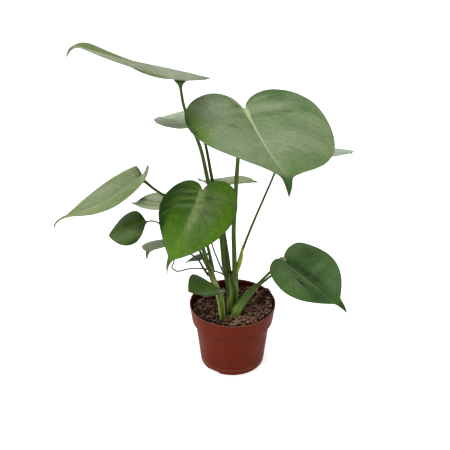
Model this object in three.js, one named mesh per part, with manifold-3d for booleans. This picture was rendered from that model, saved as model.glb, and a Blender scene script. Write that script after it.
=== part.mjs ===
// A potted Monstera deliciosa with young, uncut, heart-shaped leaves, in its round nursery pot.
// Millimetres, +Z up. The origin is the centre of the pot's flat underside. The plant's front faces -Y.
import * as THREE from "three";
import Module from "manifold-3d";

const wasm = await Module();
wasm.setup();

// Driving dimensions of the pot
const POT_HEIGHT = 95;
const POT_RIM_RADIUS = 60;
const POT_COLLAR_FOOT_RADIUS = 56.6;
const POT_COLLAR_FOOT_HEIGHT = 69;
const POT_WALL_TOP_RADIUS = 52.4;
const POT_BASE_RADIUS = 44.6;
const POT_BASE_CORNER = 3.6;
const POT_WALL = 1.7;
const POT_FLOOR = 2.2;
const POT_LIP_WIDTH = 2.4;
const POT_LIP_HEIGHT = 3;
const POT_LIP_OVERHANG = 0.4;
const POT_EDGE = 0.6;
const POT_SEGMENTS = 32;
const DRAIN_NOTCH_ANGLES = [-125, -5, 115];
const DRAIN_NOTCH_WIDTH = 19;
const DRAIN_NOTCH_HEIGHT = 4;
const DRAIN_NOTCH_DEPTH = 14;
const DRAIN_HOLE_COUNT = 4;
const DRAIN_HOLE_RADIUS = 4;
const DRAIN_HOLE_CIRCLE = 26;
const DRAIN_HOLE_SIDES = 12;

// Driving dimensions of the soil
const SOIL_HEIGHT = 88;
const SOIL_RISE_FRONT = 0.085;
const SOIL_RISE_RIGHT = 0.045;
const SOIL_BUMP = 0.9;
const SOIL_BUMP_TURNS = { first: [0.31, 0.27], second: [0.17, 0.41], share: 0.6 };
const SOIL_HEAP = { x: 45, y: 22, rise: 7, spread: 11 };
const SOIL_RINGS = 6;

// Shared by the pieces
const GAP = 0.3;
const CUT_SPARE = 0.05;

// Driving dimensions of the stalks: how deep they root, and how finely they are faceted
const ROOT_DEPTH = 64;
const ROOT_SIDES = 12;
const ROOT_RADIUS_LEAST = 4;
const PETIOLE_SIDES = 6;
const PETIOLE_STEP = 20;
const HOLE_SIDES = 16;

// Driving dimensions of the blades
const BLADE_THICKNESS = 0.8;
const MIDRIB_HEIGHT = 1.5;
const MIDRIB_TAPER = 0.7;
const LARGE_BLADE_ROWS = 16;
const LARGE_BLADE_COLUMNS = [0, 0.06, 0.3, 0.62, 1];
const SMALL_BLADE_ROWS = 12;
const SMALL_BLADE_COLUMNS = [0, 0.08, 0.45, 1];

// How a blade bends, in shares of its length: the midrib is drawn on behind the stalk to carry the lobes, the
// rows of points fan out of the stalk up to RIB_FAN, and the drip tip starts to hook at HOOK_START.
const RIB_BEHIND = 0.25;
const RIB_ROOT = 0.012;
const RIB_FAN = 0.21;
const RIB_SPREAD = 1.35;
const DROOP_SPREAD = 1.3;
const HOOK_START = 0.8;

// Half outlines of a blade: x along the midrib in blade lengths, y in half widths.
// The heart is told by its stations alone, with one y for a slim blade and one for a full one. Its drip tip goes
// on from there: half way to the point it still has this share of the width that it starts with.
const HEART_X = [-0.017, -0.083, -0.165, -0.215, -0.21, -0.133, 0.022, 0.21, 0.41, 0.61, 0.79, 0.91, 0.975];
const HEART_SLIM = [0.012, 0.045, 0.15, 0.33, 0.54, 0.78, 0.942, 1, 0.95, 0.79, 0.545, 0.31, 0.15];
const HEART_FULL = [0.012, 0.045, 0.15, 0.33, 0.54, 0.78, 0.942, 1, 0.975, 0.87, 0.67, 0.43, 0.22];
const TIP_START = 1.02;
const TIP_MIDDLE_SHARE = 0.72;
const OVATE = [
  [-0.004, 0.03], [0.02, 0.17], [0.06, 0.36], [0.125, 0.59], [0.21, 0.8], [0.32, 0.95], [0.45, 1],
  [0.58, 0.95], [0.7, 0.81], [0.81, 0.6], [0.9, 0.37], [0.96, 0.18], [1, 0],
];

// What a blade has unless its own row says otherwise. Lengths are in millimetres, angles in degrees.
// heading, pitch and roll point the blade at its stalk; droop bends the midrib down along its length and hook
// bends its drip tip; fold and curl raise and roll over each half. lobe and full shape the heart, uneven makes its
// left lobe longer and its right one shorter, and tip and tipWidth are the drip tip's length and half width in
// blade lengths and half widths.
const PLAIN_BLADE = {
  roll: 0, droop: 0, hook: 0, foldLeft: 12, foldRight: 12, curlLeft: 20, curlRight: 20, twist: 0,
  skew: 0, sway: 0, lift: 0, lobe: 1, uneven: 0, full: 0.6, tip: 0.1, tipWidth: 0.062, ovate: false, large: true,
};

const BLADES = {
  blade_top_left: {
    at: [-65, 5, 418], length: 148, halfWidth: 85, heading: -171, pitch: 16, roll: 20, droop: -15, hook: 97,
    foldLeft: 5, foldRight: 21, curlLeft: 2, curlRight: 44, twist: -5, skew: -0.08, sway: -14, lobe: 0.98,
    lift: 18, full: 0.54, tip: 0.09, tipWidth: 0.1,
  },
  blade_top_right: {
    at: [14, -20, 388], length: 186, halfWidth: 87, heading: -75, pitch: -11, roll: -4, droop: -16, hook: 68,
    foldLeft: 15, foldRight: 9, curlLeft: 21, curlRight: 20, twist: -13, skew: 0.07, sway: -2, lobe: 0.86,
    lift: 20, full: 0.86, tip: 0.14, tipWidth: 0.07,
  },
  blade_behind_top: {
    at: [-43, 48, 346], length: 87, halfWidth: 40, heading: 141, pitch: -10, roll: -4, droop: 6,
    curlLeft: 15, curlRight: 15, twist: 10, sway: -12, tip: 0.11,
  },
  blade_behind_right: {
    at: [64, 30, 318], length: 134, halfWidth: 60, heading: 34, pitch: -14, roll: -12, droop: 9, hook: 13,
    foldLeft: 4, foldRight: 6, curlLeft: 25, curlRight: 25, twist: -7,
  },
  blade_centre_front: {
    at: [-39, -45, 290], length: 121, halfWidth: 54, heading: -108, pitch: -23, roll: 18, droop: 35, hook: 43,
    foldLeft: -7, foldRight: 6, curlLeft: 62, curlRight: 5, twist: 18, skew: -0.03, sway: -36, lobe: 0.83,
    lift: 28, full: 0.15, tip: 0.195, tipWidth: 0.11,
  },
  blade_far_left: {
    at: [-115, -15, 291], length: 136, halfWidth: 76, heading: -163, pitch: -31, roll: 21, droop: -26, hook: 66,
    foldLeft: 23, foldRight: 10, curlLeft: 42, curlRight: -8, twist: -6, skew: 0.14, sway: -8, lobe: 0.59,
    uneven: 0.81, lift: 56, full: -0.26, tip: 0.17,
  },
  blade_mid_left: {
    at: [-70.5, 24, 236], length: 68, halfWidth: 43, heading: 179, pitch: -8, roll: 27, droop: -19, hook: -6,
    foldLeft: 14, curlLeft: -1, curlRight: 22, twist: 25, skew: 0.01, sway: 14, lobe: 0.68, full: 0.29, tip: 0.12,
    large: false,
  },
  blade_ovate: {
    at: [-113, -20, 234], length: 54, halfWidth: 31, heading: -177, pitch: -20, roll: -18, droop: 10, hook: -4,
    foldLeft: 3, foldRight: 11, curlLeft: 28, curlRight: 24, twist: 16, skew: -0.03, sway: -4, ovate: true,
    large: false,
  },
  blade_low_left: {
    at: [-76, 5, 187], length: 76, halfWidth: 32, heading: -125, pitch: 20, roll: 15, droop: 15, hook: 83,
    foldLeft: 13, foldRight: 16, curlLeft: 24, curlRight: 17, twist: 10, sway: 5, tip: 0.16, tipWidth: 0.13,
    large: false,
  },
  blade_behind_centre: {
    at: [-28, 54, 249], length: 66, halfWidth: 45, heading: -11, pitch: 11, roll: -39, droop: 3, hook: 9,
    foldLeft: 26, foldRight: 15, curlLeft: 16, curlRight: 36, twist: -5, skew: -0.05, sway: -5, lobe: 0.95,
    lift: 25, tip: 0.07, large: false,
  },
  blade_bud: {
    at: [-39, 8, 164], length: 37, halfWidth: 14, heading: 151, pitch: -16, roll: 2, droop: 40, hook: 31,
    foldLeft: 8, foldRight: 8, lobe: 0.5, large: false,
  },
  blade_seedling: {
    at: [-15, -48, 146], length: 53, halfWidth: 31, heading: -147, pitch: 18, roll: 11, droop: 3, hook: -5,
    foldLeft: 19, foldRight: 13, curlLeft: 0, curlRight: -3, twist: -23, skew: -0.06, ovate: true, large: false,
  },
  blade_right: {
    at: [71, -5, 164], length: 108, halfWidth: 60, heading: -31, pitch: -25, roll: -7, droop: -1, hook: 19,
    foldLeft: 17, foldRight: 19, curlLeft: 26, curlRight: 36, twist: 27, skew: 0.1, sway: -5, lobe: 0.55,
    lift: 6, full: -0.3, tip: 0.17, tipWidth: 0.085,
  },
  blade_right_hidden: {
    at: [84, 27, 143], length: 66, halfWidth: 29, heading: -12, pitch: -8, droop: 25, hook: 30, lobe: 0.9, large: false,
  },
};

// The stalks, each a list of [x, y, z, radius] from its root up to the blade that it carries.
// A route whose first point is at the soil goes on straight down into its hole.
const CLUMPS = {
  stalks_centre: {
    colour: 0x3f5a1c,
    root: [[-1, -9, 92, 7.3], [0, -9, 108, 7.5], [1, -9, 124, 7.2], [-1, -8, 138, 6.2], [-2, -8, 149, 4.6]],
    sheath: { from: [6, -8, 150], to: [13, -4, 188], halfWidth: 3.6, halfThickness: 1.1 },
    petioles: {
      blade_top_left: [
        [-4, -9, 121, 3.6], [-11, -8, 156, 3.4], [-15, -6, 198, 3], [-20, -5, 228, 2.9], [-32, -2, 282, 2.7],
        [-41, 1, 326, 2.4], [-53, 3, 360, 2.2], [-61, 4, 382, 2], [-64, 5, 400, 1.9], [-65, 6, 411, 2.1],
        [-65, 5, 418, 3],
      ],
      blade_behind_top: [
        [-3, -6, 129, 3.6], [-8, -3, 172, 3.5], [-15.5, 0, 225, 3], [-26.6, 4, 280, 2.3], [-34, 18, 318, 1.9],
        [-40, 37, 335, 1.7], [-44, 46, 343, 1.8], [-43, 48, 346, 2],
      ],
      blade_top_right: [
        [3, -9, 121, 3.6], [2, -9, 177, 3.2], [1, -8, 215, 3], [3, -7, 259, 2.9], [5, -6, 301, 2.7],
        [7, -5, 331, 2.5], [10, -6, 358, 2.4], [13, -14, 380, 2.6], [14, -20, 388, 3.2],
      ],
      blade_behind_right: [
        [5, -8, 120, 2.8], [5, -7, 144, 2.8], [8, -5, 163, 2.3], [14, -3, 184, 1.9], [23, 0, 210, 1.7],
        [34, 3, 239, 1.6], [44, 6, 264, 1.5], [54, 11, 289, 1.5], [60, 18, 308, 1.5], [63, 27, 316, 1.7],
        [64, 30, 318, 2],
      ],
      blade_behind_centre: [
        [-4, -5, 118, 1.6], [-10, -3, 137, 1.4], [-22, 4, 166, 1.1], [-28, 8, 184, 1.1], [-31, 17, 207, 1.1],
        [-33, 33, 227, 1.1], [-31, 47, 240, 1.2], [-28, 54, 249, 1.6],
      ],
    },
  },
  stalks_left: {
    colour: 0x54742a,
    root: [
      [-14, -34, 91, 4.8], [-15, -32, 105, 5], [-17, -31, 122, 5], [-22, -30, 139, 4.7], [-27, -28, 154, 4.6],
      [-30, -27, 167, 4], [-33, -26, 176, 3.2],
    ],
    petioles: {
      blade_centre_front: [
        [-31, -27, 167, 3.2], [-39, -29, 198, 2.8], [-43, -31, 225, 2.6], [-44, -34, 253, 2.5],
        [-42, -38, 275, 2.5], [-39, -43, 287, 2.8], [-39, -45, 290, 3.2],
      ],
      blade_far_left: [
        [-26, -25, 160, 2.6], [-33, -20, 195, 2.1], [-41, -18, 217, 2], [-53, -17, 239, 1.9], [-71, -16, 256, 1.8],
        [-87, -17, 269, 1.8], [-101, -16, 279, 1.8], [-110, -15, 287, 2], [-115, -15, 291, 2.6],
      ],
      blade_mid_left: [
        [-32, -24, 163, 2.2], [-43, -11, 181, 1.6], [-48, -3, 200, 1.5], [-58, 8, 219, 1.4], [-67, 19, 231, 1.5],
        [-70.5, 24, 236, 1.9],
      ],
      blade_low_left: [
        [-32, -27, 155, 2], [-39, -24, 165, 1.5], [-46, -20, 176, 1.3], [-56, -14, 181, 1.2], [-65, -7, 181, 1.2],
        [-73, 1, 181, 1.3], [-76, 4, 184, 1.4], [-76, 5, 187, 1.6],
      ],
      blade_bud: [
        [-29, -25, 157, 1.8], [-34, -19, 163, 1.3], [-36, -9, 162, 1.2], [-38, 1, 161, 1.2], [-39, 8, 164, 1.5],
      ],
      blade_seedling: [
        [-16, -34, 112, 2.6], [-16, -40, 124, 2], [-15.5, -45, 136, 1.9], [-15, -48, 143, 1.9], [-15, -48, 146, 2],
      ],
    },
  },
  stalks_right: {
    colour: 0x5c7f35,
    root: [
      [4, -25, 91, 6.6], [7, -26, 101, 6.8], [12, -24, 109, 6.2], [19, -24, 120, 5.4], [27, -24, 131, 4.3],
      [33, -23, 138, 3.2],
    ],
    petioles: {
      blade_right: [
        [33, -24, 138, 2.4], [40, -19, 144, 1.9], [51, -12, 152, 1.9], [58, -5, 157, 2.2], [63, -1, 162, 2.8],
        [66, -1, 165.5, 3.2], [69, -3, 165.5, 3], [71, -5, 164, 2.8],
      ],
      blade_right_hidden: [
        [35, -22, 137, 2], [44, -15, 140, 1.6], [53, -6, 142, 1.5], [65, 6, 139, 1.4], [76, 18, 136, 1.4],
        [83, 25, 137, 1.5], [84, 27, 143, 1.9],
      ],
    },
  },
  stalk_ovate: {
    colour: 0x22301a,
    root: [[-9, -22, 90, 1.5], [-10, -21, 106, 1.3]],
    petioles: {
      blade_ovate: [
        [-10, -21, 104, 1.3], [-8, -20, 120, 1.2], [-6, -19, 134, 1.1], [-7, -18, 144, 1.1], [-14, -17, 152, 1.1],
        [-27, -17, 157, 1], [-41, -18, 161, 1], [-57, -20, 162, 1], [-73, -25, 161, 1], [-79, -29, 167, 1],
        [-80, -38, 176, 1], [-76, -47, 192, 1], [-76, -52, 210, 1], [-84, -46, 227, 1], [-94, -34, 238, 1],
        [-105, -26, 238, 1.1], [-113, -20, 234, 1.5],
      ],
    },
  },
};

const POT_COLOUR = 0x7a2a17;
const SOIL_COLOUR = 0x3a2418;
const BLADE_COLOUR = 0x5f7f4a;

const { degToRad, clamp, smoothstep, lerp } = THREE.MathUtils;

// A point, at t from 0 to 1, of the smooth line through rows of numbers.
function along(rows, t) {
  const last = rows.length - 1;
  const place = clamp(t, 0, 1) * last;
  const span = Math.min(Math.floor(place), last - 1);
  const w = place - span;
  const before = rows[Math.max(span - 1, 0)];
  const start = rows[span];
  const end = rows[span + 1];
  const after = rows[Math.min(span + 2, last)];
  return start.map((p1, k) => {
    const p2 = end[k];
    const v1 = (p2 - before[k]) / 2;
    const v2 = (after[k] - p1) / 2;
    return (2 * p1 - 2 * p2 + v1 + v2) * w ** 3 + (3 * p2 - 3 * p1 - 2 * v1 - v2) * w ** 2 + v1 * w + p1;
  });
}

// A geometry of points and triangles.
function geometry(points, triangles) {
  const made = new THREE.BufferGeometry();
  made.setAttribute("position", new THREE.Float32BufferAttribute(points.flatMap((p) => [p.x, p.y, p.z]), 3));
  made.setIndex(triangles.flat());
  made.computeVertexNormals();
  return made;
}

// Points and triangles of a geometry with the vertices that share a place made one.
function welded(source) {
  const places = new Map();
  const points = [];
  const position = source.getAttribute("position");
  const order = [];
  for (let i = 0; i < position.count; i += 1) {
    const point = new THREE.Vector3().fromBufferAttribute(position, i);
    const key = point.toArray().map((value) => Math.round(value * 1e4)).join();
    if (!places.has(key)) {
      places.set(key, points.length);
      points.push(point);
    }
    order.push(places.get(key));
  }
  const index = source.index ? [...source.index.array] : order.map((_, i) => i);
  const triangles = [];
  for (let i = 0; i < index.length; i += 3) {
    const corners = [order[index[i]], order[index[i + 1]], order[index[i + 2]]];
    if (new Set(corners).size === 3) triangles.push(corners);
  }
  return geometry(points, triangles);
}

// The solid of a closed geometry, ready to be joined and cut.
function solid(source) {
  const clean = welded(source);
  return new wasm.Manifold(new wasm.Mesh({
    numProp: 3,
    vertProperties: new Float32Array(clean.getAttribute("position").array),
    triVerts: new Uint32Array(clean.index.array),
  }));
}

// The geometry of a solid, of its largest body alone.
function shape(body) {
  const largest = body.decompose().sort((a, b) => b.volume() - a.volume())[0];
  const mesh = largest.getMesh();
  const made = new THREE.BufferGeometry();
  const places = [];
  for (let i = 0; i < mesh.vertProperties.length; i += mesh.numProp) {
    places.push(...mesh.vertProperties.slice(i, i + 3));
  }
  made.setAttribute("position", new THREE.Float32BufferAttribute(places, 3));
  made.setIndex([...mesh.triVerts]);
  return made;
}

// A closed sheet between matching upper and lower points. Both faces are split into triangles alike.
function sheet(upper, lower, triangles) {
  const count = upper.length;
  const edges = new Set(triangles.flatMap(([a, b, c]) => [`${a},${b}`, `${b},${c}`, `${c},${a}`]));
  const walls = [];
  for (const edge of edges) {
    const [a, b] = edge.split(",").map(Number);
    if (!edges.has(`${b},${a}`)) walls.push([b, a, a + count], [b, a + count, b + count]);
  }
  const under = triangles.map(([a, b, c]) => [c + count, b + count, a + count]);
  return geometry([...upper, ...lower], [...triangles, ...under, ...walls]);
}

// The half outline of a blade on one side, as rows of x in lengths and y in half widths.
function halfOutline(blade, side) {
  if (blade.ovate) return OVATE;
  const rows = HEART_X.map((x, i) => {
    const station = (x < 0 ? x * blade.lobe * (1 + side * blade.uneven) : x) * (1 - blade.tip);
    return [station, HEART_SLIM[i] + (HEART_FULL[i] - HEART_SLIM[i]) * blade.full];
  });
  const tipStart = TIP_START * (1 - blade.tip);
  const tipMiddle = [(tipStart + 1) / 2, TIP_MIDDLE_SHARE * blade.tipWidth];
  return [...rows, [tipStart, blade.tipWidth], tipMiddle, [1, 0]];
}

// Where on the midrib the row of points that ends at t on the margin starts.
function ribRoot(t) {
  return RIB_ROOT * t + (1 - RIB_ROOT) * clamp((t - RIB_FAN) / (1 - RIB_FAN), 0, 1) ** RIB_SPREAD;
}

// The bent midrib: stations from behind the stalk to the tip, each with its place and its two slopes.
function midribStations(blade) {
  const count = 100;
  const step = (1 + RIB_BEHIND) / count;
  const stations = [];
  const place = new THREE.Vector3();
  let heading = null;
  for (let i = 0; i <= count; i += 1) {
    const s = i * step - RIB_BEHIND;
    const bend = s > 0 ? -degToRad(blade.droop) * s ** DROOP_SPREAD : degToRad(blade.lift) * (s / RIB_BEHIND);
    const slope = bend - degToRad(blade.hook) * smoothstep(s, HOOK_START, 1);
    const turn = degToRad(blade.sway) * clamp(s, 0, 1);
    const next = new THREE.Vector3(
      Math.cos(slope) * Math.cos(turn), Math.cos(slope) * Math.sin(turn), Math.sin(slope),
    );
    if (heading) place.addScaledVector(heading.add(next), (blade.length * step) / 2);
    heading = next;
    stations.push({ s, slope, turn, place: place.clone() });
  }
  const origin = stationAt(stations, 0).place.clone();
  for (const station of stations) station.place.sub(origin);
  return stations;
}

// The midrib's place and slopes at s.
function stationAt(stations, s) {
  const first = stations[0].s;
  const span = (1 - first) / (stations.length - 1);
  const at = clamp((s - first) / span, 0, stations.length - 1);
  const i = Math.min(Math.floor(at), stations.length - 2);
  const [a, b] = [stations[i], stations[i + 1]];
  return {
    place: a.place.clone().lerp(b.place, at - i),
    slope: lerp(a.slope, b.slope, at - i),
    turn: lerp(a.turn, b.turn, at - i),
  };
}

// The blade's forward, left and upward directions where it meets its stalk.
function bladeAxes(blade) {
  const [heading, pitch, roll] = [blade.heading, blade.pitch, blade.roll].map(degToRad);
  const forward = new THREE.Vector3(
    Math.cos(heading) * Math.cos(pitch), Math.sin(heading) * Math.cos(pitch), Math.sin(pitch),
  );
  const level = new THREE.Vector3(-Math.sin(heading), Math.cos(heading), 0);
  const upright = new THREE.Vector3().crossVectors(forward, level);
  const left = level.clone().multiplyScalar(Math.cos(roll)).addScaledVector(upright, Math.sin(roll));
  const up = upright.clone().multiplyScalar(Math.cos(roll)).addScaledVector(level, -Math.sin(roll));
  return { forward, left, up };
}

// A point of the blade's middle surface and its normal. side is 1 on the left of the midrib and -1 on the right.
function bladePoint(blade, stations, axes, x, y, side) {
  const rib = stationAt(stations, x);
  const fold = degToRad(side > 0 ? blade.foldLeft : blade.foldRight);
  const curl = degToRad(side > 0 ? blade.curlLeft : blade.curlRight);
  const halfWidth = blade.halfWidth * (1 + side * blade.skew);
  const rate = Math.abs(curl) < 1e-6 ? 1e-6 : curl / halfWidth;
  const reach = y * halfWidth;
  const angle = fold - rate * reach;
  const out = (Math.sin(fold) - Math.sin(angle)) / rate;
  const rise = (Math.cos(angle) - Math.cos(fold)) / rate;

  const mix = (a, ka, b, kb) => a.clone().multiplyScalar(ka).addScaledVector(b, kb);
  const ahead = mix(axes.forward, Math.cos(rib.turn), axes.left, Math.sin(rib.turn));
  const across = mix(axes.forward, -Math.sin(rib.turn), axes.left, Math.cos(rib.turn));
  const above = mix(ahead, -Math.sin(rib.slope), axes.up, Math.cos(rib.slope));
  const twist = degToRad(blade.twist) * clamp(x, 0, 1);
  const acrossHere = mix(across, Math.cos(twist), above, Math.sin(twist));
  const aboveHere = mix(across, -Math.sin(twist), above, Math.cos(twist));

  const point = new THREE.Vector3(...blade.at)
    .addScaledVector(axes.forward, rib.place.x)
    .addScaledVector(axes.left, rib.place.y)
    .addScaledVector(axes.up, rib.place.z)
    .addScaledVector(acrossHere, side * out)
    .addScaledVector(aboveHere, rise);
  const lean = y === 0 ? 0 : angle;
  const normal = mix(aboveHere, Math.cos(lean), acrossHere, -side * Math.sin(lean));
  return { point, normal };
}

// The edge of a half blade at t, moved out by a margin in millimetres.
function edgeAt(blade, outline, t, margin) {
  const reach = 0.02;
  const [x, y] = along(outline, t);
  if (margin === 0) return [x, y];
  if (t === 1) return [1 + margin / blade.length, 0];
  const [x0, y0] = along(outline, t - reach);
  const [x1, y1] = along(outline, t + reach);
  const [dx, dy] = [(x1 - x0) * blade.length, (y1 - y0) * blade.halfWidth];
  const scale = margin / Math.hypot(dx, dy);
  return [x - (dy * scale) / blade.length, Math.max(y + (dx * scale) / blade.halfWidth, 0.002)];
}

// A blade as a thin closed sheet, with its midrib raised on the underside. margin grows it on all sides.
function bladeGeometry(blade, margin = 0) {
  const rows = blade.large ? LARGE_BLADE_ROWS : SMALL_BLADE_ROWS;
  const columns = blade.large ? LARGE_BLADE_COLUMNS : SMALL_BLADE_COLUMNS;
  const outlines = { 1: halfOutline(blade, 1), [-1]: halfOutline(blade, -1) };
  const stations = midribStations(blade);
  const axes = bladeAxes(blade);
  const upper = [];
  const lower = [];
  const names = new Map();
  const vertex = (side, row, column) => {
    const key = row === rows ? "tip" : column === 0 ? `rib ${row}` : `${side} ${row} ${column}`;
    if (names.has(key)) return names.get(key);
    const t = row / rows;
    const root = ribRoot(t) - (row === 0 ? margin / blade.length : 0);
    const [edgeX, edgeY] = edgeAt(blade, outlines[side], t, margin);
    const x = row === rows ? edgeX : lerp(root, edgeX, columns[column]);
    const y = edgeY * columns[column];
    const { point, normal } = bladePoint(blade, stations, axes, x, y, side);
    const ridge = column === 0 && row < rows ? MIDRIB_HEIGHT * (1 - Math.max(root, 0)) ** MIDRIB_TAPER : 0;
    upper.push(point.clone().addScaledVector(normal, BLADE_THICKNESS / 2 + margin));
    lower.push(point.clone().addScaledVector(normal, -BLADE_THICKNESS / 2 - ridge - margin));
    names.set(key, upper.length - 1);
    return upper.length - 1;
  };
  const triangles = [];
  for (const side of [1, -1]) {
    for (let row = 0; row < rows; row += 1) {
      for (let column = 0; column < columns.length - 1; column += 1) {
        const a = vertex(side, row, column);
        const b = vertex(side, row + 1, column);
        const c = vertex(side, row + 1, column + 1);
        const d = vertex(side, row, column + 1);
        const faces = row === rows - 1 ? [[a, b, d]] : [[a, b, c], [a, c, d]];
        triangles.push(...faces.map((face) => (side > 0 ? face : face.reverse())));
      }
    }
  }
  return sheet(upper, lower, triangles);
}

// A round stalk along a route of [x, y, z, radius] rows, closed by a flat end at each side.
function stalkGeometry(route) {
  const sides = route[0][3] > ROOT_RADIUS_LEAST ? ROOT_SIDES : PETIOLE_SIDES;
  const length = route.slice(1).reduce((sum, row, i) => sum + Math.hypot(...row.map((v, k) => v - route[i][k])), 0);
  const steps = Math.max(Math.round(length / PETIOLE_STEP), route.length);
  const rows = Array.from({ length: steps + 1 }, (_, i) => along(route, i / steps));
  const centres = rows.map(([x, y, z]) => new THREE.Vector3(x, y, z));
  const points = [];
  const triangles = [];
  let across = new THREE.Vector3(1, 0, 0);
  centres.forEach((centre, i) => {
    const ahead = centres[Math.min(i + 1, steps)].clone().sub(centres[Math.max(i - 1, 0)]).normalize();
    across = across.clone().addScaledVector(ahead, -across.dot(ahead)).normalize();
    const beside = new THREE.Vector3().crossVectors(ahead, across);
    for (let side = 0; side < sides; side += 1) {
      const angle = (side / sides) * 2 * Math.PI;
      const spoke = across.clone().multiplyScalar(Math.cos(angle)).addScaledVector(beside, Math.sin(angle));
      points.push(centre.clone().addScaledVector(spoke, rows[i][3]));
    }
  });
  for (let ring = 0; ring < steps; ring += 1) {
    for (let side = 0; side < sides; side += 1) {
      const next = (side + 1) % sides;
      const [a, b] = [ring * sides + side, ring * sides + next];
      triangles.push([a, b, b + sides], [a, b + sides, a + sides]);
    }
  }
  const end = steps * sides;
  for (let side = 1; side < sides - 1; side += 1) {
    triangles.push([0, side + 1, side], [end, end + side, end + side + 1]);
  }
  return geometry(points, triangles);
}

// The leaf base that clasps a stalk: a thin lens between two places.
function sheathGeometry({ from, to, halfWidth, halfThickness }) {
  const [start, end] = [new THREE.Vector3(...from), new THREE.Vector3(...to)];
  const made = new THREE.SphereGeometry(1, 12, 8);
  made.scale(halfWidth, halfThickness, start.distanceTo(end) / 2);
  const turn = new THREE.Quaternion()
    .setFromUnitVectors(new THREE.Vector3(0, 0, 1), end.clone().sub(start).normalize());
  made.applyQuaternion(turn);
  const middle = start.lerp(end, 0.5);
  return made.translate(middle.x, middle.y, middle.z);
}

// A clump: its root and all its petioles in one body, each petiole cut clear of the blade that it carries.
function clumpGeometry(clump) {
  const [x, y, , radius] = clump.root[0];
  let body = solid(stalkGeometry([[x, y, ROOT_DEPTH, radius], ...clump.root]));
  if (clump.sheath) body = body.add(solid(sheathGeometry(clump.sheath)));
  for (const [name, route] of Object.entries(clump.petioles)) {
    const clear = solid(bladeGeometry({ ...PLAIN_BLADE, ...BLADES[name] }, GAP + CUT_SPARE));
    body = body.add(solid(shape(solid(stalkGeometry(route)).subtract(clear))));
  }
  return shape(body);
}

// The pot's outer radius at a height on its plain wall or its collar.
function potRadius(height) {
  if (height < POT_COLLAR_FOOT_HEIGHT) {
    return lerp(POT_BASE_RADIUS, POT_WALL_TOP_RADIUS, height / POT_COLLAR_FOOT_HEIGHT);
  }
  const share = (height - POT_COLLAR_FOOT_HEIGHT) / (POT_HEIGHT - POT_COLLAR_FOOT_HEIGHT);
  return lerp(POT_COLLAR_FOOT_RADIUS, POT_RIM_RADIUS, share);
}

function potGeometry() {
  const lipFoot = POT_HEIGHT - POT_LIP_HEIGHT;
  const shelf = POT_COLLAR_FOOT_HEIGHT + POT_WALL;
  const profile = [
    [0, 0],
    [POT_BASE_RADIUS - POT_BASE_CORNER, 0],
    [POT_BASE_RADIUS - POT_BASE_CORNER * 0.3, POT_BASE_CORNER * 0.3],
    [potRadius(POT_BASE_CORNER), POT_BASE_CORNER],
    [POT_WALL_TOP_RADIUS, POT_COLLAR_FOOT_HEIGHT],
    [POT_COLLAR_FOOT_RADIUS - POT_EDGE, POT_COLLAR_FOOT_HEIGHT],
    [POT_COLLAR_FOOT_RADIUS, POT_COLLAR_FOOT_HEIGHT + POT_EDGE],
    [potRadius(lipFoot) - POT_LIP_OVERHANG, lipFoot],
    [potRadius(lipFoot) + POT_LIP_OVERHANG, lipFoot + POT_EDGE],
    [POT_RIM_RADIUS, POT_HEIGHT - POT_EDGE],
    [POT_RIM_RADIUS - POT_EDGE, POT_HEIGHT],
    [POT_RIM_RADIUS - POT_LIP_WIDTH, POT_HEIGHT],
    [potRadius(shelf) - POT_WALL, shelf],
    [POT_WALL_TOP_RADIUS - POT_WALL, shelf - POT_EDGE],
    [potRadius(POT_BASE_CORNER) - POT_WALL, POT_FLOOR + POT_BASE_CORNER - POT_WALL],
    [POT_BASE_RADIUS - POT_BASE_CORNER - POT_WALL / 2, POT_FLOOR],
    [0, POT_FLOOR],
  ];
  const turned = new THREE.LatheGeometry(profile.map(([r, z]) => new THREE.Vector2(r, z)), POT_SEGMENTS);
  let pot = solid(turned.rotateX(Math.PI / 2));
  for (const angle of DRAIN_NOTCH_ANGLES) {
    const notch = new THREE.BoxGeometry(DRAIN_NOTCH_DEPTH, DRAIN_NOTCH_WIDTH, DRAIN_NOTCH_HEIGHT * 2);
    notch.translate(POT_BASE_RADIUS, 0, 0).rotateZ(degToRad(angle));
    pot = pot.subtract(solid(notch));
  }
  for (let hole = 0; hole < DRAIN_HOLE_COUNT; hole += 1) {
    const drain = new THREE.CylinderGeometry(
      DRAIN_HOLE_RADIUS, DRAIN_HOLE_RADIUS, POT_FLOOR * 3, DRAIN_HOLE_SIDES,
    );
    drain.rotateX(Math.PI / 2).translate(DRAIN_HOLE_CIRCLE, 0, 0).rotateZ((hole / DRAIN_HOLE_COUNT) * 2 * Math.PI);
    pot = pot.subtract(solid(drain));
  }
  return shape(pot);
}

// The height of the soil: it rises to the front and the right, with low bumps and one heap by the rim.
function soilHeight(x, y) {
  const slope = SOIL_HEIGHT - SOIL_RISE_FRONT * y + SOIL_RISE_RIGHT * x;
  const { first, second, share } = SOIL_BUMP_TURNS;
  const bumps = Math.sin(x * first[0]) * Math.cos(y * first[1]) + share * Math.sin(x * second[0] - y * second[1]);
  const away = ((x - SOIL_HEAP.x) ** 2 + (y - SOIL_HEAP.y) ** 2) / SOIL_HEAP.spread ** 2;
  return slope + SOIL_BUMP * bumps + SOIL_HEAP.rise * Math.exp(-away);
}

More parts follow.
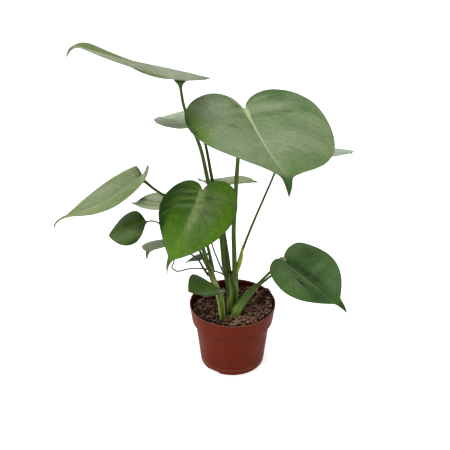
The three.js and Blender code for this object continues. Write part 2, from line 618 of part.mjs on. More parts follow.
// The soil fills the pot down to its floor, clear of the wall all round.
function soilGeometry() {
  const shelf = POT_COLLAR_FOOT_HEIGHT + POT_WALL;
  const inside = [
    [POT_BASE_RADIUS - POT_BASE_CORNER - POT_WALL / 2 - GAP, POT_FLOOR + GAP],
    [potRadius(POT_BASE_CORNER) - POT_WALL - GAP, POT_FLOOR + POT_BASE_CORNER - POT_WALL + GAP],
    [POT_WALL_TOP_RADIUS - POT_WALL - GAP, shelf - POT_EDGE + GAP],
    [potRadius(shelf) - POT_WALL - GAP * 2, shelf + GAP],
  ];
  const points = [new THREE.Vector3(0, 0, POT_FLOOR + GAP)];
  const ring = (radiusAt, heightAt) => {
    for (let i = 0; i < POT_SEGMENTS; i += 1) {
      const angle = (i / POT_SEGMENTS) * 2 * Math.PI;
      const radius = radiusAt(angle);
      const [x, y] = [radius * Math.cos(angle), radius * Math.sin(angle)];
      points.push(new THREE.Vector3(x, y, heightAt(x, y)));
    }
  };
  for (const [radius, height] of inside) ring(() => radius, () => height);
  const rimRadius = potRadius(SOIL_HEIGHT) - POT_WALL - GAP * 5;
  for (let i = SOIL_RINGS; i > 0; i -= 1) ring(() => (rimRadius * i) / SOIL_RINGS, soilHeight);
  points.push(new THREE.Vector3(0, 0, soilHeight(0, 0)));

  const rings = inside.length + SOIL_RINGS;
  const triangles = [];
  for (let i = 0; i < POT_SEGMENTS; i += 1) {
    const next = (i + 1) % POT_SEGMENTS;
    triangles.push([0, 1 + next, 1 + i]);
    for (let k = 0; k < rings - 1; k += 1) {
      const [a, b] = [1 + k * POT_SEGMENTS + i, 1 + k * POT_SEGMENTS + next];
      triangles.push([a, b, b + POT_SEGMENTS], [a, b + POT_SEGMENTS, a + POT_SEGMENTS]);
    }
    const top = 1 + (rings - 1) * POT_SEGMENTS;
    triangles.push([top + i, top + next, points.length - 1]);
  }
  let soil = solid(geometry(points, triangles));
  for (const clump of Object.values(CLUMPS)) {
    const [x, y, , radius] = clump.root[0];
    const hole = new THREE.CylinderGeometry(radius + GAP * 2, radius + GAP * 2, POT_HEIGHT, HOLE_SIDES);
    hole.rotateX(Math.PI / 2).translate(x, y, ROOT_DEPTH - GAP + POT_HEIGHT / 2);
    soil = soil.subtract(solid(hole));
  }
  return shape(soil);
}

// The object: pot, soil, stalks and blades, each in its own finish
function piece(name, form, colour, roughness) {
  const material = new THREE.MeshStandardMaterial({ color: colour, roughness, metalness: 0 });
  const mesh = new THREE.Mesh(form, material);
  mesh.name = name;
  return mesh;
}

const plant = new THREE.Group();
plant.add(piece("pot", potGeometry(), POT_COLOUR, 0.5));
plant.add(piece("soil", soilGeometry(), SOIL_COLOUR, 1));
for (const [name, clump] of Object.entries(CLUMPS)) {
  plant.add(piece(name, clumpGeometry(clump), clump.colour, 0.5));
}
for (const [name, blade] of Object.entries(BLADES)) {
  plant.add(piece(name, bladeGeometry({ ...PLAIN_BLADE, ...blade }), BLADE_COLOUR, 0.4));
}

export default plant;
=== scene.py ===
"""A potted Monstera deliciosa with young, uncut, heart-shaped leaves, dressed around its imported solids.

Shapes are worked out in millimetres and degrees and given to Blender in metres. +Z is up, the origin is the
centre of the pot's underside, and the plant's front faces -Y.
"""
import logging
import math
from dataclasses import dataclass, field
from enum import Enum
from typing import Any, Sequence

import bpy
import numpy as np
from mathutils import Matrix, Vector, noise


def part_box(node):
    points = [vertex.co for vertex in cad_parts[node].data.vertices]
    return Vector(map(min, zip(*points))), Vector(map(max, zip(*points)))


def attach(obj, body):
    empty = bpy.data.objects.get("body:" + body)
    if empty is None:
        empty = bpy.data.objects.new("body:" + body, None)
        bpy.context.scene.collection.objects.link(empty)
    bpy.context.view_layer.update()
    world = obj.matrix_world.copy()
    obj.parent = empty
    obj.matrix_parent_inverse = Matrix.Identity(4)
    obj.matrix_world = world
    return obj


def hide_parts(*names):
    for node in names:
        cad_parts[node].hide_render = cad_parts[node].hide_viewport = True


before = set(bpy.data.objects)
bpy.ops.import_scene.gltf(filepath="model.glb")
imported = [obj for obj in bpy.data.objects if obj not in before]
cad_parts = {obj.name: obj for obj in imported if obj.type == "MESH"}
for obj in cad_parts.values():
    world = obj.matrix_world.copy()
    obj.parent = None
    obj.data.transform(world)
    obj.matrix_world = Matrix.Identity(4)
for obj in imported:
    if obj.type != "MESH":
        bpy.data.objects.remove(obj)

MM = 0.001
BODY = "root"
log = logging.getLogger("plant")

Colour = tuple[float, float, float]
Faces = list[tuple[int, ...]]
Socket = bpy.types.NodeSocket


def tint(red: int, green: int, blue: int) -> Colour:
    """Turn a colour as a screen shows it, in parts from 0 to 255, into linear light by the sRGB curve."""
    shares = (red / 255, green / 255, blue / 255)
    return tuple(s / 12.92 if s <= 0.04045 else ((s + 0.055) / 1.055) ** 2.4 for s in shares)


def spline(rows: np.ndarray, t: np.ndarray) -> np.ndarray:
    """Find points of the smooth line through rows of numbers.

    Args:
        rows: The rows that the line passes through.
        t: Where the points lie, from 0 at the first row to 1 at the last.

    Returns:
        One row for each t.
    """
    last = len(rows) - 1
    place = np.clip(np.atleast_1d(t), 0, 1) * last
    span = np.minimum(place.astype(int), last - 1)
    w = (place - span)[:, None]
    before, start = rows[np.maximum(span - 1, 0)], rows[span]
    end, after = rows[span + 1], rows[np.minimum(span + 2, last)]
    v1, v2 = (end - before) / 2, (after - start) / 2
    cubic = 2 * start - 2 * end + v1 + v2
    square = 3 * end - 3 * start - 2 * v1 - v2
    return cubic * w**3 + square * w**2 + v1 * w + start


def smooth(low: float, high: float, value: np.ndarray) -> np.ndarray:
    """Rise smoothly from 0 at low to 1 at high."""
    share = np.clip((value - low) / (high - low), 0, 1)
    return share * share * (3 - 2 * share)


@dataclass
class Form:
    """A piece while it is made: its points in millimetres, its faces, and named numbers on its points."""

    points: list[np.ndarray] = field(default_factory=list)
    faces: list[tuple[int, ...]] = field(default_factory=list)
    slots: list[int] = field(default_factory=list)
    values: dict[str, list[np.ndarray]] = field(default_factory=dict)
    count: int = 0

    def add(self, points: np.ndarray, faces: Sequence[Sequence[int]], slot: int = 0, **values: Any) -> None:
        """Add a shell.

        Args:
            points: Its points, one row each.
            faces: Its faces, as numbers of those points.
            slot: The number of the finish that it wears.
            values: Named numbers for its points, one for all or one for each.
        """
        self.points.append(points)
        self.faces.extend(tuple(int(i) + self.count for i in face) for face in faces)
        self.slots.extend([slot] * len(faces))
        for name, value in values.items():
            self.values.setdefault(name, []).append(np.broadcast_to(value, len(points)).astype(np.float32))
        self.count += len(points)

    def finish(
        self, name: str, finishes: Sequence[bpy.types.Material], crease: float = 40,
    ) -> bpy.types.Object:
        """Turn the form into a Blender object.

        Args:
            name: The piece's name.
            finishes: Its materials, in the order of the slots.
            crease: The angle in degrees past which two faces meet in a sharp edge.

        Returns:
            The object, linked to the scene.
        """
        mesh = bpy.data.meshes.new(name)
        mesh.from_pydata(np.concatenate(self.points) * MM, [], self.faces)
        for key, parts in self.values.items():
            mesh.attributes.new(key, "FLOAT", "POINT").data.foreach_set("value", np.concatenate(parts))
        for material in finishes:
            mesh.materials.append(material)
        mesh.polygons.foreach_set("material_index", self.slots)
        mesh.polygons.foreach_set("use_smooth", [True] * len(self.faces))
        mesh.set_sharp_from_angle(angle=math.radians(crease))
        mesh.update()
        piece = bpy.data.objects.new(name, mesh)
        bpy.context.scene.collection.objects.link(piece)
        return piece


def backing(faces: Faces, total: int) -> tuple[Faces, Faces]:
    """Close a thin sheet with a second one behind it.

    Args:
        faces: The front's faces.
        total: How many points the front has. The back's points follow them in the same order.

    Returns:
        The back's faces, and those of the walls that join the two along the sheet's edge.
    """
    edges = {(face[i - 1], face[i]) for face in faces for i in range(len(face))}
    walls = [(b, a, a + total, b + total) for a, b in edges if (b, a) not in edges]
    return [tuple(i + total for i in reversed(face)) for face in faces], walls


def dress(piece: bpy.types.Object, slot: str, *nodes: str) -> bpy.types.Object:
    """Hang a finished piece on the part.

    Args:
        piece: The piece, in place.
        slot: The record's material slot for it. It is not used.
        nodes: The solids that it stands for.

    Returns:
        The piece.
    """
    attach(piece, BODY)
    if nodes:
        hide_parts(*nodes)
    log.info("%s: %d faces, for %s", piece.name, len(piece.data.polygons), ", ".join(nodes) or "no solid")
    return piece


class Board:
    """The node tree of one material, with short ways to add its nodes."""

    SIDES_APART = 37

    def __init__(self, name: str) -> None:
        """Start an empty material.

        Args:
            name: Its name.
        """
        self.material = bpy.data.materials.new(name)
        self.material.use_nodes = True
        self.tree = self.material.node_tree
        self.tree.nodes.clear()

    def add(self, kind: str, feeds: dict[Any, Any], **settings: Any) -> bpy.types.Node:
        """Add a node.

        Args:
            kind: Its type, without the leading ShaderNode.
            feeds: What goes into its sockets: another socket or a plain value.
            settings: Its own settings.

        Returns:
            The node.
        """
        node = self.tree.nodes.new("ShaderNode" + kind)
        for key, value in settings.items():
            setattr(node, key, value)
        for key, value in feeds.items():
            if isinstance(value, bpy.types.NodeSocket):
                self.tree.links.new(value, node.inputs[key])
            elif node.inputs[key].type == "RGBA":
                node.inputs[key].default_value = (*value, 1)
            else:
                node.inputs[key].default_value = value
        return node

    def value(self, name: str) -> Socket:
        """Read a named number of the mesh."""
        return self.add("Attribute", {}, attribute_name=name).outputs["Fac"]

    def math(self, operation: str, *terms: Any) -> Socket:
        """Work out one step of arithmetic."""
        return self.add("Math", dict(enumerate(terms)), operation=operation).outputs[0]

    def times(self, first: Any, second: Any) -> Socket:
        """Multiply two numbers."""
        return self.math("MULTIPLY", first, second)

    def plus(self, first: Any, second: Any) -> Socket:
        """Add two numbers."""
        return self.math("ADD", first, second)

    def rise(self, value: Any, low: float, high: float, start: float = 0, end: float = 1) -> Socket:
        """Go smoothly from start to end as the value goes from low to high."""
        feeds = {0: value, 1: low, 2: high, 3: start, 4: end}
        return self.add("MapRange", feeds, interpolation_type="SMOOTHSTEP").outputs[0]

    def mix(self, share: Any, first: Any, second: Any, blend: str = "MIX") -> Socket:
        """Mix two colours."""
        return self.add("Mix", {0: share, 6: first, 7: second}, data_type="RGBA", blend_type=blend).outputs[2]

    def place(self, stretch: Colour = (1, 1, 1)) -> Socket:
        """Give a point's place in metres, stretched along the axes."""
        at = self.add("TexCoord", {}).outputs["Object"]
        return self.add("VectorMath", {0: at, 1: stretch}, operation="MULTIPLY").outputs[0]

    def speckle(self, scale: float, detail: float = 3, at: Socket | None = None) -> Socket:
        """Make a soft noise of scale turns a metre."""
        feeds = {"Vector": at or self.place(), "Scale": scale, "Detail": detail}
        return self.add("TexNoise", feeds).outputs["Fac"]

    def cells(self, scale: float, at: Socket | None = None) -> Socket:
        """Give the distance to the walls of a net of cells."""
        feeds = {"Vector": at or self.place(), "Scale": scale}
        return self.add("TexVoronoi", feeds, feature="DISTANCE_TO_EDGE").outputs["Distance"]

    def lane(self, turns: float, reach: float) -> Socket:
        """Give a place on a blade that counts its veins one way and runs along them the other way.

        Args:
            turns: How fast the place changes from vein to vein.
            reach: How fast it changes along a vein.

        Returns:
            The place, far apart for the blade's two halves.
        """
        across = self.times(self.value("vein"), turns)
        apart = self.math("MULTIPLY_ADD", self.value("side"), self.SIDES_APART, across)
        return self.add("CombineXYZ", {0: apart, 1: self.times(self.value("reach"), reach)}).outputs[0]

    def lift(self, height: Any, strength: float, distance: float) -> Socket:
        """Turn a height into a bumped normal.

        Args:
            height: The height, from 0 to about 1.
            strength: How strongly it shows, from 0 to 1.
            distance: How high 1 stands, in metres.

        Returns:
            The normal.
        """
        feeds = {"Height": height, "Strength": strength, "Distance": distance}
        return self.add("Bump", feeds).outputs[0]

    def close(self, colour: Any, roughness: Any, normal: Any = None, **plain: float) -> bpy.types.Material:
        """End the tree in its surface.

        Args:
            colour: The base colour.
            roughness: The roughness.
            normal: The bumped normal, if there is one.
            plain: Numbers that are the same all over, by socket, with underscores for the spaces in its name.

        Returns:
            The material.
        """
        feeds = {"Base Color": colour, "Roughness": roughness}
        if normal is not None:
            feeds["Normal"] = normal
        feeds.update({name.replace("_", " "): value for name, value in plain.items()})
        surface = self.add("BsdfPrincipled", feeds)
        self.add("OutputMaterial", {"Surface": surface.outputs[0]})
        return self.material


@dataclass(frozen=True)
class LeafFinish:
    """The colours and the gloss of one kind of leaf. Roughness and strengths run from 0 to 1.

    rib_width is the midrib's half width in millimetres, and rib_end is the place along the blade where the
    midrib has faded to rib_left of its strength.
    """

    name: str
    face: Colour
    deep: Colour
    # Painted light: brighter green laid where the blade looks lit through.
    bright: Colour
    # Painted sheen: a pale grey colour laid over the green where the leaf reflects the sky.
    bloom: Colour
    rib: Colour
    rim: Colour
    drip: Colour
    under: Colour
    under_deep: Colour
    shadow: Colour = tint(26, 44, 16)
    streaks: float = 0.3
    crease_shade: float = 0.7
    vein_show: float = 0.3
    rib_show: float = 0.85
    rib_width: float = 1.3
    rib_end: float = 0.9
    rib_left: float = 0.55
    roughness: float = 0.5

    RELIEF = 0.0005

    def veins(self, board: Board, turns: float, width: float, shift: float = 0) -> Socket:
        """Draw the lateral veins.

        Args:
            board: The material.
            turns: Veins for each turn of the blade's own count.
            width: Their width as a share of their spacing.
            shift: How far beside the blade's own veins they lie, as a share of their spacing.

        Returns:
            1 on a vein and 0 off it.
        """
        place = board.math("MULTIPLY_ADD", board.value("vein"), turns, shift)
        return board.rise(board.math("PINGPONG", place, 0.5), width * 0.3, width, 1, 0)

    def midrib(self, board: Board) -> Socket:
        """Draw the midrib, broad where the stalk meets the blade and narrow at the tip.

        Args:
            board: The material.

        Returns:
            How strongly it shows, from 0 to 1.
        """
        broad = board.rise(board.value("along"), 0, 0.2, self.rib_width * 2.6, self.rib_width)
        reach = board.times(broad, board.rise(board.value("along"), 0.2, 0.95, 1, 0.35))
        off = board.math("DIVIDE", board.value("rib_mm"), reach)
        show = self.rib_show
        fade = board.rise(board.value("along"), 0.1, self.rib_end, show, show * self.rib_left)
        return board.times(board.rise(off, 0.5, 1.5, 1, 0), fade)

    def streaks_along(self, board: Board, turns: float, reach: float) -> tuple[Socket, Socket]:
        """Draw the streaks that run with the veins.

        Args:
            board: The material.
            turns: How fast the broad streaks change from vein to vein.
            reach: How fast they change along a vein.

        Returns:
            The broad streaks and the fine ones, each from 0 to 1.
        """
        broad = board.rise(board.speckle(1, 4, board.lane(turns, reach)), 0.36, 0.64)
        return broad, board.rise(board.speckle(1, 3, board.lane(5, 2.4)), 0.34, 0.66)

    def streaked(self, board: Board, broad: Socket, fine: Socket) -> Socket:
        """Lay the upper face's ground: its streaks and soft patches, crease lines of painted shade, then the
        blade's spots of painted sheen, painted light and painted shade.

        Args:
            board: The material.
            broad: The broad streaks.
            fine: The fine streaks.

        Returns:
            The colour.
        """
        patches = board.rise(board.speckle(26, 4), 0.38, 0.62)
        tone = board.plus(board.plus(broad, board.times(fine, 0.7)), patches)
        colour = board.mix(board.times(tone, self.streaks), self.face, self.deep)
        # Painted shade: darker lines along the lanes stand for shade in the lamina's folds.
        crease_shade = board.rise(board.speckle(1, 2, board.lane(2.2, 1.1)), 0.56, 0.66, 0, self.crease_shade)
        crease_shade = board.times(crease_shade, board.rise(board.value("along"), 0.45, 0.8, 1, 0.2))
        colour = board.mix(board.times(crease_shade, board.rise(fine, 0, 1, 0.4, 1)), colour, self.deep)
        ragged = board.plus(0.6, board.times(board.plus(fine, broad), 0.45))
        # Painted sheen, painted light and painted shade, laid from the blade's spots.
        for spots, paint in (("bloom", self.bloom), ("glow", self.bright), ("shade", self.shadow)):
            colour = board.mix(board.times(board.value(spots), ragged), colour, paint)
        return colour

    def veined(self, board: Board, colour: Socket) -> tuple[Socket, Socket]:
        """Draw the veins of the upper face, pale partly in their own colour and partly as a painted
        highlight, each with a dark line of painted shade beside it.

        Args:
            board: The material.
            colour: The colour under them.

        Returns:
            The colour with the veins, and the veins.
        """
        seen = board.rise(board.speckle(1, 2, board.lane(0.7, 1.0)), 0.42, 0.6, 0.15, 1)
        seen = board.times(seen, board.rise(board.value("rim_mm"), 1, 12, 0, self.vein_show))
        seen = board.times(seen, board.rise(board.value("along"), 0.25, 0.6, 1, 0.3))
        main = self.veins(board, 1, 0.07)
        # Painted shade: a dark line beside each vein, as in its groove; the vein itself is drawn pale, partly
        # as a painted highlight.
        colour = board.mix(board.times(self.veins(board, 1, 0.13, 0.12), seen), colour, self.deep)
        return board.mix(board.times(main, seen), colour, self.rib), main

    def edged(self, board: Board, colour: Socket, rim_show: float) -> Socket:
        """Lay the midrib, the drip tip and the thin rim over a face.

        Args:
            board: The material.
            colour: The colour under them.
            rim_show: How strongly the rim shows, from 0 to 1.

        Returns:
            The colour.
        """
        colour = board.mix(self.midrib(board), colour, self.rib)
        colour = board.mix(board.value("drip"), colour, self.drip)
        return board.mix(board.rise(board.value("rim_mm"), 0.3, 1.2, rim_show, 0), colour, self.rim)

    def upper(self) -> bpy.types.Material:
        """Make the upper face: streaked along its veins, with soft patches and a dull cuticle.

        Returns:
            The material.
        """
        board = Board(f"leaf_{self.name}_upper")
        broad, fine = self.streaks_along(board, 0.9, 1.6)
        colour, main = self.veined(board, self.streaked(board, broad, fine))
        mottle = board.plus(board.speckle(420, 5), board.times(board.speckle(170, 4), 0.9))
        grain = board.rise(mottle, 0.65, 1.25, 0.84, 1.14)
        shown = board.add("CombineColor", {0: grain, 1: grain, 2: grain}).outputs[0]
        colour = self.edged(board, board.mix(1.0, colour, shown, "MULTIPLY"), 0.7)
        net = board.times(board.rise(board.cells(520), 0, 0.12), 0.3)
        height = board.plus(board.plus(net, board.times(fine, 0.8)), board.speckle(900, 2))
        height = board.math("SUBTRACT", height, board.times(main, 0.9))
        rough = board.rise(board.speckle(60, 4), 0.3, 0.7, self.roughness - 0.05, self.roughness + 0.09)
        return board.close(colour, rough, board.lift(height, 0.3, self.RELIEF), Specular_IOR_Level=0.15)

    def lower(self) -> bpy.types.Material:
        """Make the under face: paler and duller, with the veins standing out.

        Returns:
            The material.
        """
        board = Board(f"leaf_{self.name}_under")
        broad, fine = self.streaks_along(board, 0.8, 1.4)
        colour = board.mix(board.times(board.plus(broad, fine), 0.46), self.under, self.under_deep)
        # Painted sheen of reflected sky, then painted shade, on the under face.
        colour = board.mix(board.value("bloom"), colour, self.bloom)
        colour = board.mix(board.value("shade"), colour, self.shadow)
        colour = board.mix(board.times(self.veins(board, 1, 0.1), 0.5), colour, self.under)
        colour = self.edged(board, colour, 0.6)
        net = board.rise(board.cells(600), 0, 0.14, 0.4, 0)
        height = board.plus(board.plus(net, board.times(fine, 0.6)), board.speckle(800, 2))
        rough = board.rise(board.speckle(80, 3), 0.3, 0.7, 0.55, 0.68)
        return board.close(colour, rough, board.lift(height, 0.3, self.RELIEF), Specular_IOR_Level=0.12)


class Foliage(Enum):
    """The kinds of leaf on the plant."""

    GREY = LeafFinish(
        "grey", face=tint(111, 127, 87), deep=tint(72, 98, 52), bright=tint(84, 114, 38),
        bloom=tint(130, 140, 114), rib=tint(158, 172, 124), rim=tint(84, 90, 66), drip=tint(44, 74, 24),
        under=tint(146, 156, 126), under_deep=tint(122, 138, 98), shadow=tint(28, 62, 16), streaks=0.42,
        crease_shade=1.0, vein_show=0.08, rib_width=1.2,
    )
    BRIGHT = LeafFinish(
        "bright", face=tint(72, 106, 24), deep=tint(40, 76, 14), bright=tint(84, 122, 20),
        bloom=tint(122, 140, 88), rib=tint(128, 148, 84), rim=tint(44, 64, 20), drip=tint(50, 80, 20),
        under=tint(120, 144, 78), under_deep=tint(96, 124, 56), shadow=tint(24, 52, 12), streaks=0.3,
        vein_show=0.45, rib_show=0.8, rib_width=1.6, rib_end=0.55, rib_left=0.08, roughness=0.46,
    )
    DARK = LeafFinish(
        "dark", face=tint(82, 112, 44), deep=tint(54, 80, 28), bright=tint(92, 126, 44),
        bloom=tint(116, 138, 92), rib=tint(94, 116, 66), rim=tint(46, 66, 26), drip=tint(34, 50, 20),
        under=tint(108, 130, 80), under_deep=tint(84, 108, 58), shadow=tint(30, 48, 16), vein_show=0.12,
        rib_show=0.4, roughness=0.48,
    )
    # A darker copy of the leaf green for a leaf in shade: painted shade. Its midrib is painted dark, as the
    # shade in its crease.
    SHADED = LeafFinish(
        "shaded", face=tint(76, 108, 54), deep=tint(48, 80, 32), bright=tint(88, 126, 42),
        bloom=tint(104, 130, 82), rib=tint(44, 72, 30), rim=tint(36, 62, 24), drip=tint(44, 74, 24),
        under=tint(116, 138, 94), under_deep=tint(92, 116, 72), shadow=tint(28, 56, 18), vein_show=0.14,
        rib_show=0.7, rib_width=1.1,
    )
    PALE = LeafFinish(
        "pale", face=tint(130, 144, 98), deep=tint(100, 120, 70), bright=tint(122, 142, 70),
        bloom=tint(152, 160, 136), rib=tint(160, 174, 120), rim=tint(112, 108, 90), drip=tint(86, 104, 46),
        under=tint(156, 166, 136), under_deep=tint(122, 138, 92), shadow=tint(46, 66, 24), streaks=0.44,
        crease_shade=0.9, vein_show=0.35,
    )
    OLIVE = LeafFinish(
        "olive", face=tint(106, 124, 62), deep=tint(82, 104, 42), bright=tint(118, 138, 70),
        bloom=tint(168, 176, 152), rib=tint(132, 148, 96), rim=tint(112, 112, 90), drip=tint(98, 108, 64),
        under=tint(146, 156, 128), under_deep=tint(108, 122, 86), shadow=tint(72, 88, 40), streaks=0.4,
        vein_show=0.3, rib_show=0.5,
    )
    SILVER = LeafFinish(
        "silver", face=tint(164, 176, 152), deep=tint(120, 134, 104), bright=tint(104, 132, 34),
        bloom=tint(166, 174, 156), rib=tint(158, 168, 136), rim=tint(108, 112, 92), drip=tint(84, 116, 22),
        under=tint(166, 176, 154), under_deep=tint(134, 148, 118), shadow=tint(36, 64, 18), vein_show=0.3,
    )


@dataclass(frozen=True)
class Spot:
    """A soft patch or dent of a blade: its place along the blade and across it (left is positive), its reach
    each way in the same shares, and its strength, or its depth in millimetres."""

    along: float
    across: float
    reach_along: float
    reach_across: float
    strength: float

    def over(self, x: np.ndarray, y: np.ndarray) -> np.ndarray:
        """Give the patch's strength at points of the blade."""
        off = ((x - self.along) / self.reach_along) ** 2 + ((y - self.across) / self.reach_across) ** 2
        return self.strength * np.exp(-off)


def spots_over(spots: Sequence[Spot], x: np.ndarray, y: np.ndarray) -> np.ndarray:
    """Add up several spots at points of the blade."""
    return sum((spot.over(x, y) for spot in spots), np.zeros_like(x))


@dataclass(frozen=True)
class Lay:
    """Where a blade's points lie: row, share of the way to the margin and side (1 left, -1 right), then x in
    lengths, y in half widths, millimetres to the midrib and to the rim, and the count of veins passed."""

    t: np.ndarray
    w: np.ndarray
    side: np.ndarray
    x: np.ndarray
    y: np.ndarray
    rib_mm: np.ndarray
    rim_mm: np.ndarray
    vein: np.ndarray

    @property
    def across(self) -> np.ndarray:
        """Give y with its sign: positive on the left."""
        return self.y * self.side


# The half outline of a heart: x along the midrib in lengths, with one y in half widths for a slim blade and
# one for a full one. The drip tip goes on from there, and half way to its point it has this share of its
# width.
HEART_X = (-0.017, -0.083, -0.165, -0.215, -0.21, -0.133, 0.022, 0.21, 0.41, 0.61, 0.79, 0.91, 0.975)
HEART_SLIM = (0.012, 0.045, 0.15, 0.33, 0.54, 0.78, 0.942, 1, 0.95, 0.79, 0.545, 0.31, 0.15)
HEART_FULL = (0.012, 0.045, 0.15, 0.33, 0.54, 0.78, 0.942, 1, 0.975, 0.87, 0.67, 0.43, 0.22)
TIP_START = 1.02
TIP_MIDDLE_SHARE = 0.52
OVATE = (
    (-0.004, 0.03), (0.02, 0.17), (0.06, 0.36), (0.125, 0.59), (0.21, 0.8), (0.32, 0.95), (0.45, 1),
    (0.58, 0.95), (0.7, 0.81), (0.81, 0.6), (0.9, 0.37), (0.96, 0.18), (1, 0),
)

# How every blade bends and how its rows fan out, as in its solid: places in lengths, spreads as powers
RIB_BEHIND = 0.25
RIB_ROOT = 0.012
RIB_FAN = 0.21
RIB_SPREAD = 1.35
DROOP_SPREAD = 1.3
HOOK_START = 0.8


@dataclass
class Blade:
    """One leaf blade: a heart or an egg shape, folded along its midrib, curled, bent and twisted.

    Lengths are in millimetres and angles in degrees. heading, pitch and roll point the blade where its stalk
    meets it; droop and hook bend the midrib down, and lift bends it up behind the stalk; fold and curl give
    the left and right half their section. lobe and full shape the outline, uneven makes the left lobe longer
    than the right one, and tip and tip_width are the drip tip's length and half width. quilt is how far the
    lamina swells between its veins, up to quilt_end along the blade, and boss is the swelling where the stalk
    joins.
    """

    node: str
    at: tuple[float, float, float]
    length: float
    half_width: float
    heading: float
    pitch: float
    kind: Foliage
    roll: float = 0
    droop: float = 0
    hook: float = 0
    fold: tuple[float, float] = (12, 12)
    curl: tuple[float, float] = (20, 20)
    twist: float = 0
    skew: float = 0
    sway: float = 0
    lift: float = 0
    lobe: float = 1
    uneven: float = 0
    full: float = 0.6
    tip: float = 0.1
    tip_width: float = 0.062
    ovate: bool = False
    quilt: float = 0.4
    quilt_end: float = 1
    veins: float = 9
    boss: float = 2.4
    boss_reach: float = 5
    # Spots of painted light: brighter green painted where the blade looks lit through.
    glow: tuple[Spot, ...] = ()
    shade: tuple[Spot, ...] = ()
    # Spots of painted sheen: a pale grey reflection of the sky painted into the colour.
    bloom: tuple[Spot, ...] = ()
    dents: tuple[Spot, ...] = ()

    THICKNESS = 0.5
    RIM_THICKNESS = 0.3
    RIDGE = 1.4
    RIDGE_REACH = 1.7
    GROOVE = 0.35
    RIM_REACH = 6
    VEIN_SWEEP = 0.16
    VEIN_RELIEF = 0.25
    SWELL_SPREAD = 0.86
    SWELL_FADE = 0.12
    QUILT_BEFORE = 0.25
    QUILT_AFTER = 0.05
    RIM_WAVE = 0.9
    RIM_WAVES = 2.3
    RIM_SHIFT = 0.17
    RIM_FADE = 0.1
    CURL_LEAST = 1e-6
    ROWS_A_MM = 0.75
    ROWS_LEAST = 48
    COLUMNS_A_MM = 0.38
    COLUMNS_LEAST = 14
    COLUMN_SPREAD = 1.25
    CREASE = 60

    def outline(self, side: int) -> np.ndarray:
        """Give the half outline on one side.

        Args:
            side: 1 for the left and -1 for the right.

        Returns:
            Its points, as rows of x in lengths and y in half widths.
        """
        if self.ovate:
            return np.array(OVATE)
        x = np.array(HEART_X)
        x = np.where(x < 0, x * self.lobe * (1 + side * self.uneven), x) * (1 - self.tip)
        slim, full = np.array(HEART_SLIM), np.array(HEART_FULL)
        rows = np.stack([x, slim + (full - slim) * self.full], 1)
        start = TIP_START * (1 - self.tip)
        middle = ((start + 1) / 2, TIP_MIDDLE_SHARE * self.tip_width)
        return np.vstack([rows, (start, self.tip_width), middle, (1, 0)])

    def axes(self) -> tuple[np.ndarray, np.ndarray, np.ndarray]:
        """Find the blade's directions where it meets its stalk.

        Returns:
            Forward, left and up.
        """
        heading, pitch, roll = np.radians([self.heading, self.pitch, self.roll])
        forward = np.array([
            math.cos(heading) * math.cos(pitch), math.sin(heading) * math.cos(pitch), math.sin(pitch),
        ])
        level = np.array([-math.sin(heading), math.cos(heading), 0])
        upright = np.cross(forward, level)
        left = math.cos(roll) * level + math.sin(roll) * upright
        return forward, left, math.cos(roll) * upright - math.sin(roll) * level

    def midrib(self) -> tuple[np.ndarray, np.ndarray, np.ndarray, np.ndarray]:
        """Follow the bent midrib.

        Returns:
            Stations from behind the stalk to the tip, their places, their slopes and their turns.
        """
        s = np.linspace(-RIB_BEHIND, 1, 101)
        ahead = np.abs(s) ** DROOP_SPREAD
        bend = np.where(s > 0, -math.radians(self.droop) * ahead, math.radians(self.lift) * s / RIB_BEHIND)
        slope = bend - math.radians(self.hook) * smooth(HOOK_START, 1, s)
        turn = math.radians(self.sway) * np.clip(s, 0, 1)
        way = np.stack([np.cos(slope) * np.cos(turn), np.cos(slope) * np.sin(turn), np.sin(slope)], 1)
        step = self.length * (s[1] - s[0])
        place = np.vstack([np.zeros(3), np.cumsum((way[1:] + way[:-1]) / 2 * step, axis=0)])
        place -= [np.interp(0, s, place[:, k]) for k in range(3)]
        return s, place, slope, turn

    def surface(self, x: np.ndarray, y: np.ndarray, side: np.ndarray) -> tuple[np.ndarray, np.ndarray]:
        """Find points of the plain middle surface.

        Args:
            x: Places along the midrib, in lengths.
            y: Places across it, in half widths.
            side: 1 on the left and -1 on the right.

        Returns:
            The points and the surface's normals there.
        """
        s, place, slopes, turns = self.midrib()
        forward, left, up = self.axes()
        at = [np.interp(x, s, place[:, k])[:, None] for k in range(3)]
        slope, turn = np.interp(x, s, slopes)[:, None], np.interp(x, s, turns)[:, None]
        fold = np.radians(np.where(side > 0, self.fold[0], self.fold[1]))
        curl = np.radians(np.where(side > 0, self.curl[0], self.curl[1]))
        width = self.half_width * (1 + side * self.skew)
        rate = np.where(np.abs(curl) < self.CURL_LEAST, self.CURL_LEAST, curl / width)
        lean = fold - rate * y * width
        out = ((np.sin(fold) - np.sin(lean)) / rate)[:, None]
        rise = ((np.cos(lean) - np.cos(fold)) / rate)[:, None]
        ahead = np.cos(turn) * forward + np.sin(turn) * left
        across = np.cos(turn) * left - np.sin(turn) * forward
        above = np.cos(slope) * up - np.sin(slope) * ahead
        twist = math.radians(self.twist) * np.clip(x, 0, 1)[:, None]
        across, above = (
            np.cos(twist) * across + np.sin(twist) * above,
            np.cos(twist) * above - np.sin(twist) * across,
        )
        flip = side[:, None]
        spine = np.array(self.at) + at[0] * forward + at[1] * left + at[2] * up
        points = spine + flip * out * across + rise * above
        lean = np.where(y == 0, 0, lean)[:, None]
        return points, np.cos(lean) * above - flip * np.sin(lean) * across

